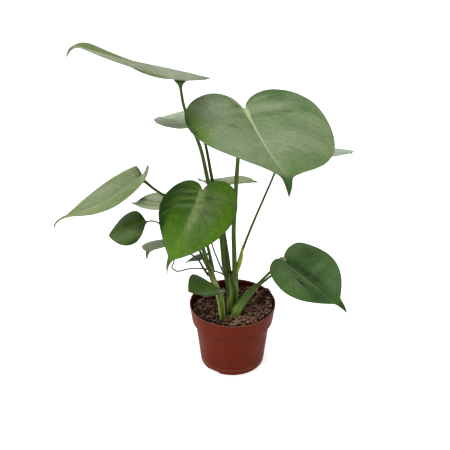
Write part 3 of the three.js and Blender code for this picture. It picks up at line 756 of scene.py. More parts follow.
    def net(self) -> tuple[np.ndarray, np.ndarray, np.ndarray, Faces]:
        """Lay out the blade's points, in rows from the midrib to the margin.

        Returns:
            For each point its row from 0 to 1, its share of the way to the margin and its side, then the
            upper face's faces.
        """
        rows = max(self.ROWS_LEAST, round(self.length * self.ROWS_A_MM))
        columns = max(self.COLUMNS_LEAST, round(self.half_width * self.COLUMNS_A_MM))
        t, w, side = [], [], []
        number = np.zeros((2, rows + 1, columns + 1), int)
        for k, way in enumerate((1, -1)):
            for row in range(rows + 1):
                for column in range(columns + 1):
                    if row == rows and (column > 0 or k > 0):
                        number[k, row, column] = number[0, rows, 0]
                        continue
                    if column == 0 and k > 0:
                        number[k, row, column] = number[0, row, 0]
                        continue
                    number[k, row, column] = len(t)
                    t.append(row / rows)
                    w.append((column / columns) ** self.COLUMN_SPREAD)
                    side.append(way)
        faces = []
        for k in range(2):
            for row in range(rows):
                for column in range(columns):
                    a, b = number[k, row, column], number[k, row + 1, column]
                    c, d = number[k, row + 1, column + 1], number[k, row, column + 1]
                    face = (a, b, c, d) if row < rows - 1 else (a, b, d)
                    faces.append(face if k == 0 else face[::-1])
        return np.array(t), np.array(w), np.array(side, float), faces

    def lay(self) -> tuple[Lay, Faces]:
        """Spread the net over the blade's outline.

        Returns:
            Where its points lie, and the upper face's faces.
        """
        t, w, side, faces = self.net()
        margin = np.where(side[:, None] > 0, spline(self.outline(1), t), spline(self.outline(-1), t))
        root = RIB_ROOT * t + (1 - RIB_ROOT) * np.clip((t - RIB_FAN) / (1 - RIB_FAN), 0, 1) ** RIB_SPREAD
        x = root + (margin[:, 0] - root) * w
        y = margin[:, 1] * w
        width = self.half_width * (1 + side * self.skew)
        rim_mm = np.hypot((margin[:, 0] - x) * self.length, (margin[:, 1] - y) * width)
        vein = self.veins * (t - self.VEIN_SWEEP * w**1.3) + 0.2 * np.sin(self.veins * (2.1 * t + side))
        return Lay(t, w, side, x, y, y * width, rim_mm, vein), faces

    def relief(self, lay: Lay) -> tuple[np.ndarray, np.ndarray]:
        """Work out how far the two faces stand off the plain middle surface.

        Args:
            lay: Where the points lie.

        Returns:
            The upper and the lower face's distance along the normal, in millimetres.
        """
        t, w, side, x = lay.t, lay.w, lay.side, lay.x
        swell = np.sin(np.pi * np.clip(w * self.SWELL_SPREAD, 0, 1)) * smooth(0, self.SWELL_FADE, 1 - t)
        fade = 1
        if self.quilt_end < 1:
            fade = 1 - smooth(self.quilt_end - self.QUILT_BEFORE, self.quilt_end + self.QUILT_AFTER, x)
        between = 0.5 - 0.5 * np.cos(2 * np.pi * lay.vein)
        lift = self.quilt * fade * swell * between * (0.75 + 0.25 * np.sin(5 * lay.vein))
        wave = np.sin(2 * np.pi * (self.RIM_WAVES * t + self.RIM_SHIFT * side))
        lift += self.RIM_WAVE * self.quilt * w**3 * wave * smooth(0, self.RIM_FADE, 1 - t)
        lift -= spots_over(self.dents, x, lay.across)
        near = np.minimum(lay.rim_mm, self.RIM_REACH)
        thick = np.interp(near, [0, self.RIM_REACH], [self.RIM_THICKNESS, self.THICKNESS]) / 2
        ahead = np.clip(1 - x, 0, 1) ** 0.7 * smooth(-0.03, 0.02, x)
        groove = self.GROOVE * ahead * np.exp(-((lay.rib_mm / self.RIDGE_REACH) ** 2))
        ridge = self.RIDGE * ahead * np.exp(-((lay.rib_mm / self.RIDGE_REACH) ** 2))
        stalk_mm = np.hypot(x * self.length, lay.rib_mm)
        ridge += self.boss * np.exp(-((stalk_mm / self.boss_reach) ** 1.6))
        ridge += self.VEIN_RELIEF * swell * (0.5 + 0.5 * np.cos(2 * np.pi * lay.vein)) ** 6
        return thick + lift - groove, lift - thick - ridge

    def numbers(self, lay: Lay) -> dict[str, np.ndarray]:
        """Work out the named numbers that the blade's finish reads.

        Args:
            lay: Where the points lie.

        Returns:
            The numbers of each point, by name.
        """
        drip = smooth(-0.03, 0.04, lay.x - 1 + self.tip) * (0 if self.ovate else 0.9)
        numbers = {
            "along": lay.x, "rib_mm": lay.rib_mm, "rim_mm": lay.rim_mm, "vein": lay.vein + self.veins,
            "side": lay.side, "reach": lay.w, "drip": drip,
        }
        # The blade's spots of painted light, painted sheen and painted shade, for its finish.
        for name, spots in (("glow", self.glow), ("bloom", self.bloom), ("shade", self.shade)):
            numbers[name] = np.clip(spots_over(spots, lay.x, lay.across), 0, 1)
        return numbers

    def build(self) -> bpy.types.Object:
        """Build the blade as a thin closed sheet with its veins in relief, and dress it.

        Returns:
            The piece.
        """
        lay, faces = self.lay()
        middle, normal = self.surface(lay.x, lay.y, lay.side)
        above, below = self.relief(lay)
        points = np.concatenate([middle + normal * above[:, None], middle + normal * below[:, None]])
        back, walls = backing(faces, len(lay.x))
        form = Form()
        both = {name: np.concatenate([value, value]) for name, value in self.numbers(lay).items()}
        form.add(points, faces, 0, **both)
        form.faces.extend(back + walls)
        form.slots.extend([1] * len(back) + [0] * len(walls))
        piece = form.finish(self.node.replace("blade", "leaf"), leaf_materials(self.kind.value), self.CREASE)
        return dress(piece, "blade", self.node)


def leaf_materials(finish: LeafFinish) -> list[bpy.types.Material]:
    """Give the two faces' materials of a kind of leaf, made once.

    Args:
        finish: The kind of leaf.

    Returns:
        The upper face's material and the lower face's.
    """
    ready = bpy.data.materials.get(f"leaf_{finish.name}_upper")
    if ready:
        return [ready, bpy.data.materials[f"leaf_{finish.name}_under"]]
    return [finish.upper(), finish.lower()]


BLADES = (
    Blade(
        "blade_top_left", (-65, 5, 418), 148, 85, -171, 16, Foliage.OLIVE, roll=20, droop=-15, hook=97,
        fold=(5, 21), curl=(2, 44), twist=-5, skew=-0.08, sway=-14, lobe=0.98, lift=18, full=0.54, tip=0.09,
        tip_width=0.15, boss=3, boss_reach=8,
        shade=(Spot(0.45, 0, 0.28, 3, 0.5), Spot(0.95, 0, 0.08, 2, 0.5), Spot(0.3, -0.9, 0.35, 0.12, 0.8)),
        bloom=(Spot(-0.1, 0, 0.28, 3, 0.9),),
    ),
    Blade(
        "blade_top_right", (14, -20, 388), 186, 87, -75, -11, Foliage.GREY, roll=-4, droop=-16, hook=68,
        fold=(15, 9), curl=(21, 20), twist=-13, skew=0.07, sway=-2, lobe=0.86, lift=20, full=0.86, tip=0.14,
        tip_width=0.085, quilt=0.35, veins=11,
        glow=(
            Spot(0.22, -0.86, 0.2, 0.1, 0.75), Spot(0.4, -0.86, 0.12, 0.1, 0.4),
            Spot(0.6, 0.8, 0.25, 0.12, 0.25), Spot(0.8, 0.1, 0.14, 0.4, 0.25),
        ),
        shade=(
            Spot(0.08, -0.99, 0.24, 0.06, 0.9), Spot(0.32, -0.95, 0.1, 0.05, 0.8),
            Spot(0.23, -0.33, 0.022, 0.09, 0.75), Spot(-0.14, -0.3, 0.06, 0.3, 0.2),
            Spot(-0.12, 0.6, 0.1, 0.5, 0.3), Spot(0.1, 0.3, 0.025, 0.35, 0.4),
            Spot(0.14, -0.9, 0.25, 0.1, 0.25), Spot(-0.16, -0.75, 0.06, 0.15, 0.3),
            Spot(-0.04, -0.1, 0.02, 0.05, 0.8),
        ),
        bloom=(
            Spot(0.02, 0.4, 0.04, 0.3, 0.6), Spot(0.5, -0.4, 0.3, 0.4, 0.45), Spot(0.4, 0.15, 0.25, 0.3, 0.3),
            Spot(0.0, -0.55, 0.16, 0.3, 0.6), Spot(-0.08, -0.06, 0.04, 0.05, 0.9),
            Spot(0.4, 0.6, 0.2, 0.3, 0.3),
        ),
        dents=(
            Spot(0.23, -0.33, 0.02, 0.1, 0.6), Spot(-0.04, -0.1, 0.03, 0.06, 2.0),
            Spot(0.1, 0.3, 0.04, 0.4, 0.8),
        ),
    ),
    Blade(
        "blade_behind_top", (-43, 48, 346), 87, 40, 141, -10, Foliage.SILVER, roll=-4, droop=6, curl=(15, 15),
        twist=10, sway=-12, tip=0.11,
    ),
    Blade(
        "blade_behind_right", (64, 30, 318), 134, 60, 34, -14, Foliage.SILVER, roll=-12, droop=9, hook=13,
        fold=(4, 6), curl=(25, 25), twist=-7,
    ),
    Blade(
        "blade_centre_front", (-39, -45, 290), 121, 54, -108, -23, Foliage.BRIGHT, roll=18, droop=35, hook=43,
        fold=(-7, 6), curl=(62, 5), twist=18, skew=-0.03, sway=-36, lobe=0.83, lift=28, full=0.15, tip=0.195,
        tip_width=0.11, quilt=0.8, quilt_end=0.55, veins=17,
        glow=(
            Spot(0.75, 0.1, 0.25, 0.45, 0.8), Spot(-0.08, 0.45, 0.12, 0.3, 0.6),
            Spot(0.4, 0.8, 0.3, 0.2, 0.9), Spot(0.5, -0.5, 0.2, 0.3, 0.4), Spot(0.1, 0.75, 0.15, 0.2, 0.6),
        ),
        shade=(
            Spot(0.2, -0.85, 0.35, 0.22, 0.85), Spot(0.5, -0.8, 0.15, 0.15, 0.6),
            Spot(-0.05, -0.6, 0.1, 0.3, 0.45), Spot(0.08, 0.22, 0.02, 0.14, 0.5),
            Spot(0.14, -0.25, 0.02, 0.25, 0.5), Spot(0.04, -0.3, 0.02, 0.3, 0.5),
            Spot(0.25, 0.35, 0.03, 0.25, 0.35),
        ),
        bloom=(
            Spot(0.28, 0.1, 0.28, 0.12, 1.0), Spot(0.2, 0.5, 0.2, 0.3, 0.6),
            Spot(0.05, 0.02, 0.08, 0.08, 0.8), Spot(0.1, -0.25, 0.015, 0.3, 0.45),
            Spot(0.2, -0.3, 0.02, 0.3, 0.4), Spot(0, -0.3, 0.015, 0.3, 0.45),
            Spot(0.02, 0.55, 0.05, 0.25, 0.5),
        ),
    ),
    Blade(
        "blade_far_left", (-115, -15, 291), 136, 76, -163, -31, Foliage.PALE, roll=21, droop=-26, hook=66,
        fold=(23, 10), curl=(42, -8), twist=-6, skew=0.14, sway=-8, lobe=0.59, uneven=0.81, lift=56,
        full=-0.26, tip=0.17, tip_width=0.1,
        shade=(Spot(-0.03, -0.55, 0.06, 0.35, 1.2), Spot(0.1, 0.0, 0.3, 0.05, 0.3)),
        glow=(Spot(0.1, -0.85, 0.2, 0.15, 0.5), Spot(0.3, 0.5, 0.25, 0.3, 0.4)),
        bloom=(Spot(0.4, -0.6, 0.25, 0.3, 0.4), Spot(-0.1, 0.4, 0.1, 0.3, 0.5)),
    ),
    Blade(
        "blade_mid_left", (-70.5, 24, 236), 68, 43, 179, -8, Foliage.PALE, roll=27, droop=-19, hook=-6,
        fold=(14, 12), curl=(-1, 22), twist=25, skew=0.01, sway=14, lobe=0.68, full=0.29, tip=0.12, quilt=0.5,
        veins=11, shade=(Spot(0.82, 0.4, 0.13, 0.35, 1.3), Spot(0.5, 0.3, 0.3, 0.05, 0.5)),
    ),
    Blade(
        "blade_ovate", (-113, -20, 234), 54, 31, -177, -20, Foliage.DARK, roll=-18, droop=10, hook=-4,
        fold=(3, 11), curl=(28, 24), twist=16, skew=-0.03, sway=-4, ovate=True,
        bloom=(Spot(0.5, 0.42, 0.45, 0.3, 0.9), Spot(0.8, 0.0, 0.15, 0.4, 0.4)),
        shade=(
            Spot(0.15, 0.92, 0.3, 0.14, 0.9), Spot(0.45, -0.3, 0.4, 0.25, 0.25),
            Spot(0.1, -0.2, 0.16, 0.9, 0.6),
        ),
    ),
    Blade(
        "blade_low_left", (-76, 5, 187), 76, 32, -125, 20, Foliage.SILVER, roll=15, droop=15, hook=83,
        fold=(13, 16), curl=(24, 17), twist=10, sway=5, tip=0.16, tip_width=0.13,
        shade=(Spot(0.1, -0.5, 0.06, 0.3, 0.6),),
    ),
    Blade(
        "blade_behind_centre", (-28, 54, 249), 66, 45, -11, 11, Foliage.PALE, roll=-39, droop=3, hook=9,
        fold=(30, 15), curl=(16, 44), twist=-5, skew=-0.05, sway=-5, lobe=1.05, lift=45, tip=0.07,
    ),
    Blade(
        "blade_bud", (-39, 8, 164), 37, 14, 151, -16, Foliage.DARK, roll=2, droop=40, hook=31, fold=(8, 8),
        lobe=0.5, shade=(Spot(0.5, 0, 2, 4, 1.2),),
    ),
    Blade(
        "blade_seedling", (-15, -48, 146), 53, 31, -147, 18, Foliage.DARK, roll=11, droop=3, hook=-5,
        fold=(19, 13), curl=(0, -3), twist=-23, skew=-0.06, ovate=True, quilt=0.2,
        bloom=(Spot(0.55, 0.45, 0.4, 0.35, 0.5),), glow=(Spot(0.3, 0.1, 0.3, 0.3, 0.5),),
    ),
    Blade(
        "blade_right", (71, -5, 164), 108, 60, -31, -25, Foliage.SHADED, roll=-7, droop=-1, hook=19,
        fold=(17, 19), curl=(26, 36), twist=27, skew=0.1, sway=-5, lobe=0.55, lift=6, full=-0.3, tip=0.17,
        tip_width=0.09, quilt=0.25,
        shade=(
            Spot(0.3, 0.1, 0.3, 0.08, 0.75), Spot(0.33, -0.34, 0.08, 0.035, 1.5),
            Spot(0.15, 0.55, 0.06, 0.14, 0.35), Spot(0.42, 0.25, 0.04, 0.25, 0.2),
            Spot(0.6, -0.3, 0.12, 0.2, 0.3), Spot(0.2, -0.62, 0.03, 0.3, 0.3),
        ),
        bloom=(
            Spot(0.2, -0.55, 0.22, 0.3, 0.7), Spot(0.35, 0.42, 0.05, 0.3, 0.5),
            Spot(0.55, 0.5, 0.2, 0.25, 0.4), Spot(0.3, -0.1, 0.35, 0.06, 0.7),
            Spot(-0.05, 0.4, 0.1, 0.3, 0.5), Spot(0.62, 0.2, 0.1, 0.15, 0.4),
        ),
        glow=(
            Spot(0.84, 0, 0.07, 0.4, 0.35), Spot(0.35, -0.85, 0.25, 0.12, 0.4),
            Spot(0.5, 0.8, 0.3, 0.15, 0.5),
        ),
        dents=(
            Spot(0.33, -0.34, 0.1, 0.05, 1.8), Spot(0.33, 0.34, 0.05, 0.2, 1.1),
            Spot(0.1, 0.55, 0.06, 0.2, 0.9), Spot(0.6, 0.3, 0.06, 0.3, -0.8),
            Spot(0.2, -0.7, 0.08, 0.15, -0.8),
        ),
    ),
    Blade("blade_right_hidden", (84, 27, 143), 66, 29, -12, -8, Foliage.PALE, droop=25, hook=30, lobe=0.9),
)


@dataclass(frozen=True)
class StalkFinish:
    """The skin of the stalks, from nearly black green through mid green to the pale green near the soil, by a
    tone that is partly their own colour and partly painted light and shade, with a painted highlight where a
    stalk meets its blade.
    """

    darkest: Colour = tint(20, 28, 8)
    middle: Colour = tint(62, 84, 18)
    palest: Colour = tint(132, 156, 76)
    blush: Colour = tint(140, 84, 40)
    knob: Colour = tint(146, 150, 134)

    def make(self) -> bpy.types.Material:
        """Make the skin: long streaks, fine pale flecks and a satin gloss.

        Returns:
            The material.
        """
        board = Board("stalk_skin")
        feeds = {0: board.value("ring_x"), 1: board.value("ring_y"), 2: board.value("run")}
        around = board.add("CombineXYZ", feeds)
        streaks = board.speckle(2.2, 4, around.outputs[0])
        tone = board.plus(board.value("tone"), board.rise(streaks, 0.3, 0.7, -0.12, 0.12))
        colour = board.mix(board.rise(tone, 0.0, 0.5), self.darkest, self.middle)
        colour = board.mix(board.rise(tone, 0.5, 1.0), colour, self.palest)
        colour = board.mix(board.times(board.value("blush"), 0.75), colour, self.blush)
        # Painted highlight: the pale grey-lilac colour on the swollen joint where the stalk meets the blade.
        colour = board.mix(board.value("knob"), colour, self.knob)
        flecks = board.rise(board.speckle(900, 2), 0.62, 0.74, 0, 0.2)
        colour = board.mix(flecks, colour, self.palest)
        height = board.plus(streaks, board.times(board.speckle(1400, 2), 0.3))
        rough = board.rise(board.speckle(120, 3), 0.3, 0.7, 0.34, 0.5)
        return board.close(colour, rough, board.lift(height, 0.35, 0.0005), Specular_IOR_Level=0.16)


@dataclass(frozen=True)
class SheathFinish:
    """The thin leaf bases that clasp the stalks: fresh ones yellow-green, old ones pale and papery."""

    name: str
    body: Colour
    edge: Colour

    def make(self) -> bpy.types.Material:
        """Make the skin, with fine long fibres and a dry edge.

        Returns:
            The material.
        """
        board = Board(f"sheath_{self.name}")
        fibres = board.speckle(1, 3, board.place((900, 900, 60)))
        colour = board.mix(board.rise(fibres, 0.35, 0.65), self.body, self.edge)
        colour = board.mix(board.rise(board.value("rim"), 0.6, 1.0, 0, 0.8), colour, self.edge)
        return board.close(colour, 0.6, board.lift(fibres, 0.4, 0.0004), Specular_IOR_Level=0.2)


def sweep(route: np.ndarray, sides: int, steps: int) -> tuple[np.ndarray, np.ndarray]:
    """Carry a ring of points along a route of [x, y, z, radius] rows.

    Args:
        route: The route's rows.
        sides: Points in the ring.
        steps: Steps along the route.

    Returns:
        The points, as rings of rows, and the smoothed rows of the route.
    """
    rows = spline(route, np.linspace(0, 1, steps + 1))
    centres = rows[:, :3]
    angles = np.arange(sides) / sides * 2 * np.pi
    across = np.array([1.0, 0, 0])
    rings = []
    for i, centre in enumerate(centres):
        ahead = centres[min(i + 1, steps)] - centres[max(i - 1, 0)]
        ahead /= np.linalg.norm(ahead)
        across = across - across.dot(ahead) * ahead
        across /= np.linalg.norm(across)
        beside = np.cross(ahead, across)
        spokes = np.cos(angles)[:, None] * across + np.sin(angles)[:, None] * beside
        rings.append(centre + spokes * rows[i, 3])
    return np.array(rings), rows


def tube_faces(rings: int, sides: int) -> Faces:
    """Give the faces of a closed tube of rings, with a flat face at each end.

    Args:
        rings: How many rings it has.
        sides: How many points each ring has.

    Returns:
        The faces.
    """
    faces = [tuple(range(sides))[::-1], tuple((rings - 1) * sides + i for i in range(sides))]
    for ring in range(rings - 1):
        for i in range(sides):
            a, b = ring * sides + i, ring * sides + (i + 1) % sides
            faces.append((a, b, b + sides, a + sides))
    return faces


class Skin(Enum):
    """The skins of a clump, each with its place among the clump's materials."""

    STALK = 0
    FRESH_SHEATH = 1
    DRY_SHEATH = 2


@dataclass
class Stalk:
    """One stalk: its route of [x, y, z, radius] rows in millimetres, and how pale its foot and its head are.

    lobes presses it into that many ribs, as stems that grow side by side are, with painted light on each
    rib's crest and painted shade between the ribs, and flare widens its head.
    blade is the blade that it carries, and it ends against that blade's underside unless it comes over the
    notch from above.
    """

    route: Sequence[tuple[float, float, float, float]]
    foot: float = 0.35
    head: float = 0.2
    blade: str = ""
    over_notch: bool = False
    lobes: int = 0
    lobe_depth: float = 0.14
    blush: float = 0
    flare: float = 0

    SIDES = 18
    STEP = 3.0
    STEPS_LEAST = 6
    SINK = 0.2
    TOP_REACH = 9.0
    FLARE_REACH = 16.0
    RIB_LIGHT_AND_SHADE = 0.27
    RIB_SHADE = 0.1
    RIB_TWIST = 2.2
    KNOB_START = 0.84
    KNOB_FULL = 0.9
    BLUSH_MIDDLE = 0.45
    BLUSH_REACH = 0.2
    STREAK_LENGTH = 60

    def under_blade(self, points: np.ndarray) -> np.ndarray:
        """Press the stalk's head down to the underside of the blade that it carries.

        Args:
            points: The stalk's points.

        Returns:
            The points, none of them above the blade.
        """
        blade = next(b for b in BLADES if b.node == self.blade)
        _, _, up = blade.axes()
        off = points - np.array(blade.at)
        near = 1 - smooth(self.TOP_REACH * 0.5, self.TOP_REACH, np.linalg.norm(off, axis=1))
        above = near * np.maximum(off @ up + self.SINK, 0)
        return points - above[:, None] * up

    def grow(self, form: Form) -> None:
        """Add the stalk to its clump's form.

        Args:
            form: The clump's form.
        """
        route = np.array(self.route, float)
        length = np.linalg.norm(np.diff(route[:, :3], axis=0), axis=1).sum()
        steps = max(self.STEPS_LEAST, round(length / self.STEP))
        sides = self.SIDES * 2 if self.lobes else self.SIDES
        rings, rows = sweep(route, sides, steps)
        share = np.linspace(0, 1, steps + 1)[:, None]
        centres = rows[:, None, :3]
        to_head = np.linalg.norm(rows[:, :3] - rows[-1, :3], axis=1)
        wider = self.flare * (1 - smooth(0, self.FLARE_REACH, to_head)) ** 2
        rings = centres + (rings - centres) * (1 + wider / rows[:, 3])[:, None, None]
        angle = np.arange(sides)[None, :] / sides * 2 * np.pi
        tone = self.foot + (self.head - self.foot) * share + 0 * angle
        if self.lobes:
            rib = np.cos(self.lobes * angle + self.RIB_TWIST * share * np.pi / 2)
            rings = centres + (rings - centres) * (1 - self.lobe_depth * (0.5 - 0.5 * rib))[:, :, None]
            # Painted light on each rib's crest and painted shade between the ribs.
            tone = tone + self.RIB_LIGHT_AND_SHADE * rib - self.RIB_SHADE
        points = rings.reshape(-1, 3)
        if self.blade and not self.over_notch:
            points = self.under_blade(points)
        numbers = {
            "tone": tone, "ring_x": np.cos(angle), "ring_y": np.sin(angle),
            "run": share * length / self.STREAK_LENGTH,
            "knob": self.over_notch * smooth(self.KNOB_START, self.KNOB_FULL, share),
            "blush": self.blush * np.exp(-(((share - self.BLUSH_MIDDLE) / self.BLUSH_REACH) ** 2)), "rim": 0,
        }
        spread = {name: np.broadcast_to(value, tone.shape).ravel() for name, value in numbers.items()}
        form.add(points, tube_faces(steps + 1, sides), Skin.STALK.value, **spread)


@dataclass
class Sheath:
    """A thin leaf base wrapped half round a stalk.

    It is given the line that it follows as [x, y, z, half width] rows, the direction that its back faces,
    how far it wraps in degrees, and its skin.
    """

    line: Sequence[tuple[float, float, float, float]]
    back: tuple[float, float, float]
    wrap: float
    skin: Skin

    THICKNESS = 0.35
    ROWS = 24
    COLUMNS = 12
    SINE_LEAST = 0.2
    SET_BACK = 0.6

    def grow(self, form: Form) -> None:
        """Add the sheath to its clump's form, as a thin closed shell.

        Args:
            form: The clump's form.
        """
        rows = spline(np.array(self.line, float), np.linspace(0, 1, self.ROWS + 1))
        ahead = np.gradient(rows[:, :3], axis=0)
        ahead /= np.linalg.norm(ahead, axis=1)[:, None]
        back = np.array(self.back) - (ahead @ np.array(self.back))[:, None] * ahead
        back /= np.linalg.norm(back, axis=1)[:, None]
        beside = np.cross(ahead, back)
        turn = np.radians(np.linspace(-self.wrap, self.wrap, self.COLUMNS + 1))
        radius = rows[:, 3] / max(math.sin(min(math.radians(self.wrap), math.pi / 2)), self.SINE_LEAST)
        spokes = np.cos(turn)[None, :, None] * back[:, None] + np.sin(turn)[None, :, None] * beside[:, None]
        centres = (rows[:, :3] - back * radius[:, None] * self.SET_BACK)[:, None]
        outer = (centres + spokes * radius[:, None, None]).reshape(-1, 3)
        inner = (centres + spokes * (radius[:, None, None] - self.THICKNESS)).reshape(-1, 3)
        wide = self.COLUMNS + 1
        starts = [row * wide + column for row in range(self.ROWS) for column in range(self.COLUMNS)]
        faces = [(a, a + 1, a + 1 + wide, a + wide) for a in starts]
        below, walls = backing(faces, len(outer))
        rim = np.abs(np.broadcast_to(np.linspace(-1, 1, wide), (self.ROWS + 1, wide))).ravel()
        form.add(
            np.concatenate([outer, inner]), faces + below + walls, self.skin.value,
            tone=0.5, ring_x=0, ring_y=0, run=0, knob=0, blush=0, rim=np.concatenate([rim, rim]),
        )


@dataclass
class Clump:
    """The stalks that leave the soil together, in one piece."""

    node: str
    stalks: Sequence[Stalk]
    sheaths: Sequence[Sheath] = ()

    CREASE = 50

    def build(self, skins: list[bpy.types.Material]) -> bpy.types.Object:
        """Build and dress the clump.

        Args:
            skins: The materials, in the order of Skin.

        Returns:
            The piece.
        """
        form = Form()
        for part in (*self.stalks, *self.sheaths):
            part.grow(form)
        name = self.node.replace("stalks", "stems").replace("stalk", "stem")
        return dress(form.finish(name, skins, self.CREASE), "stalk", self.node)


# The height over the pot's underside at which the stems start, inside the soil
ROOT_DEPTH = 64

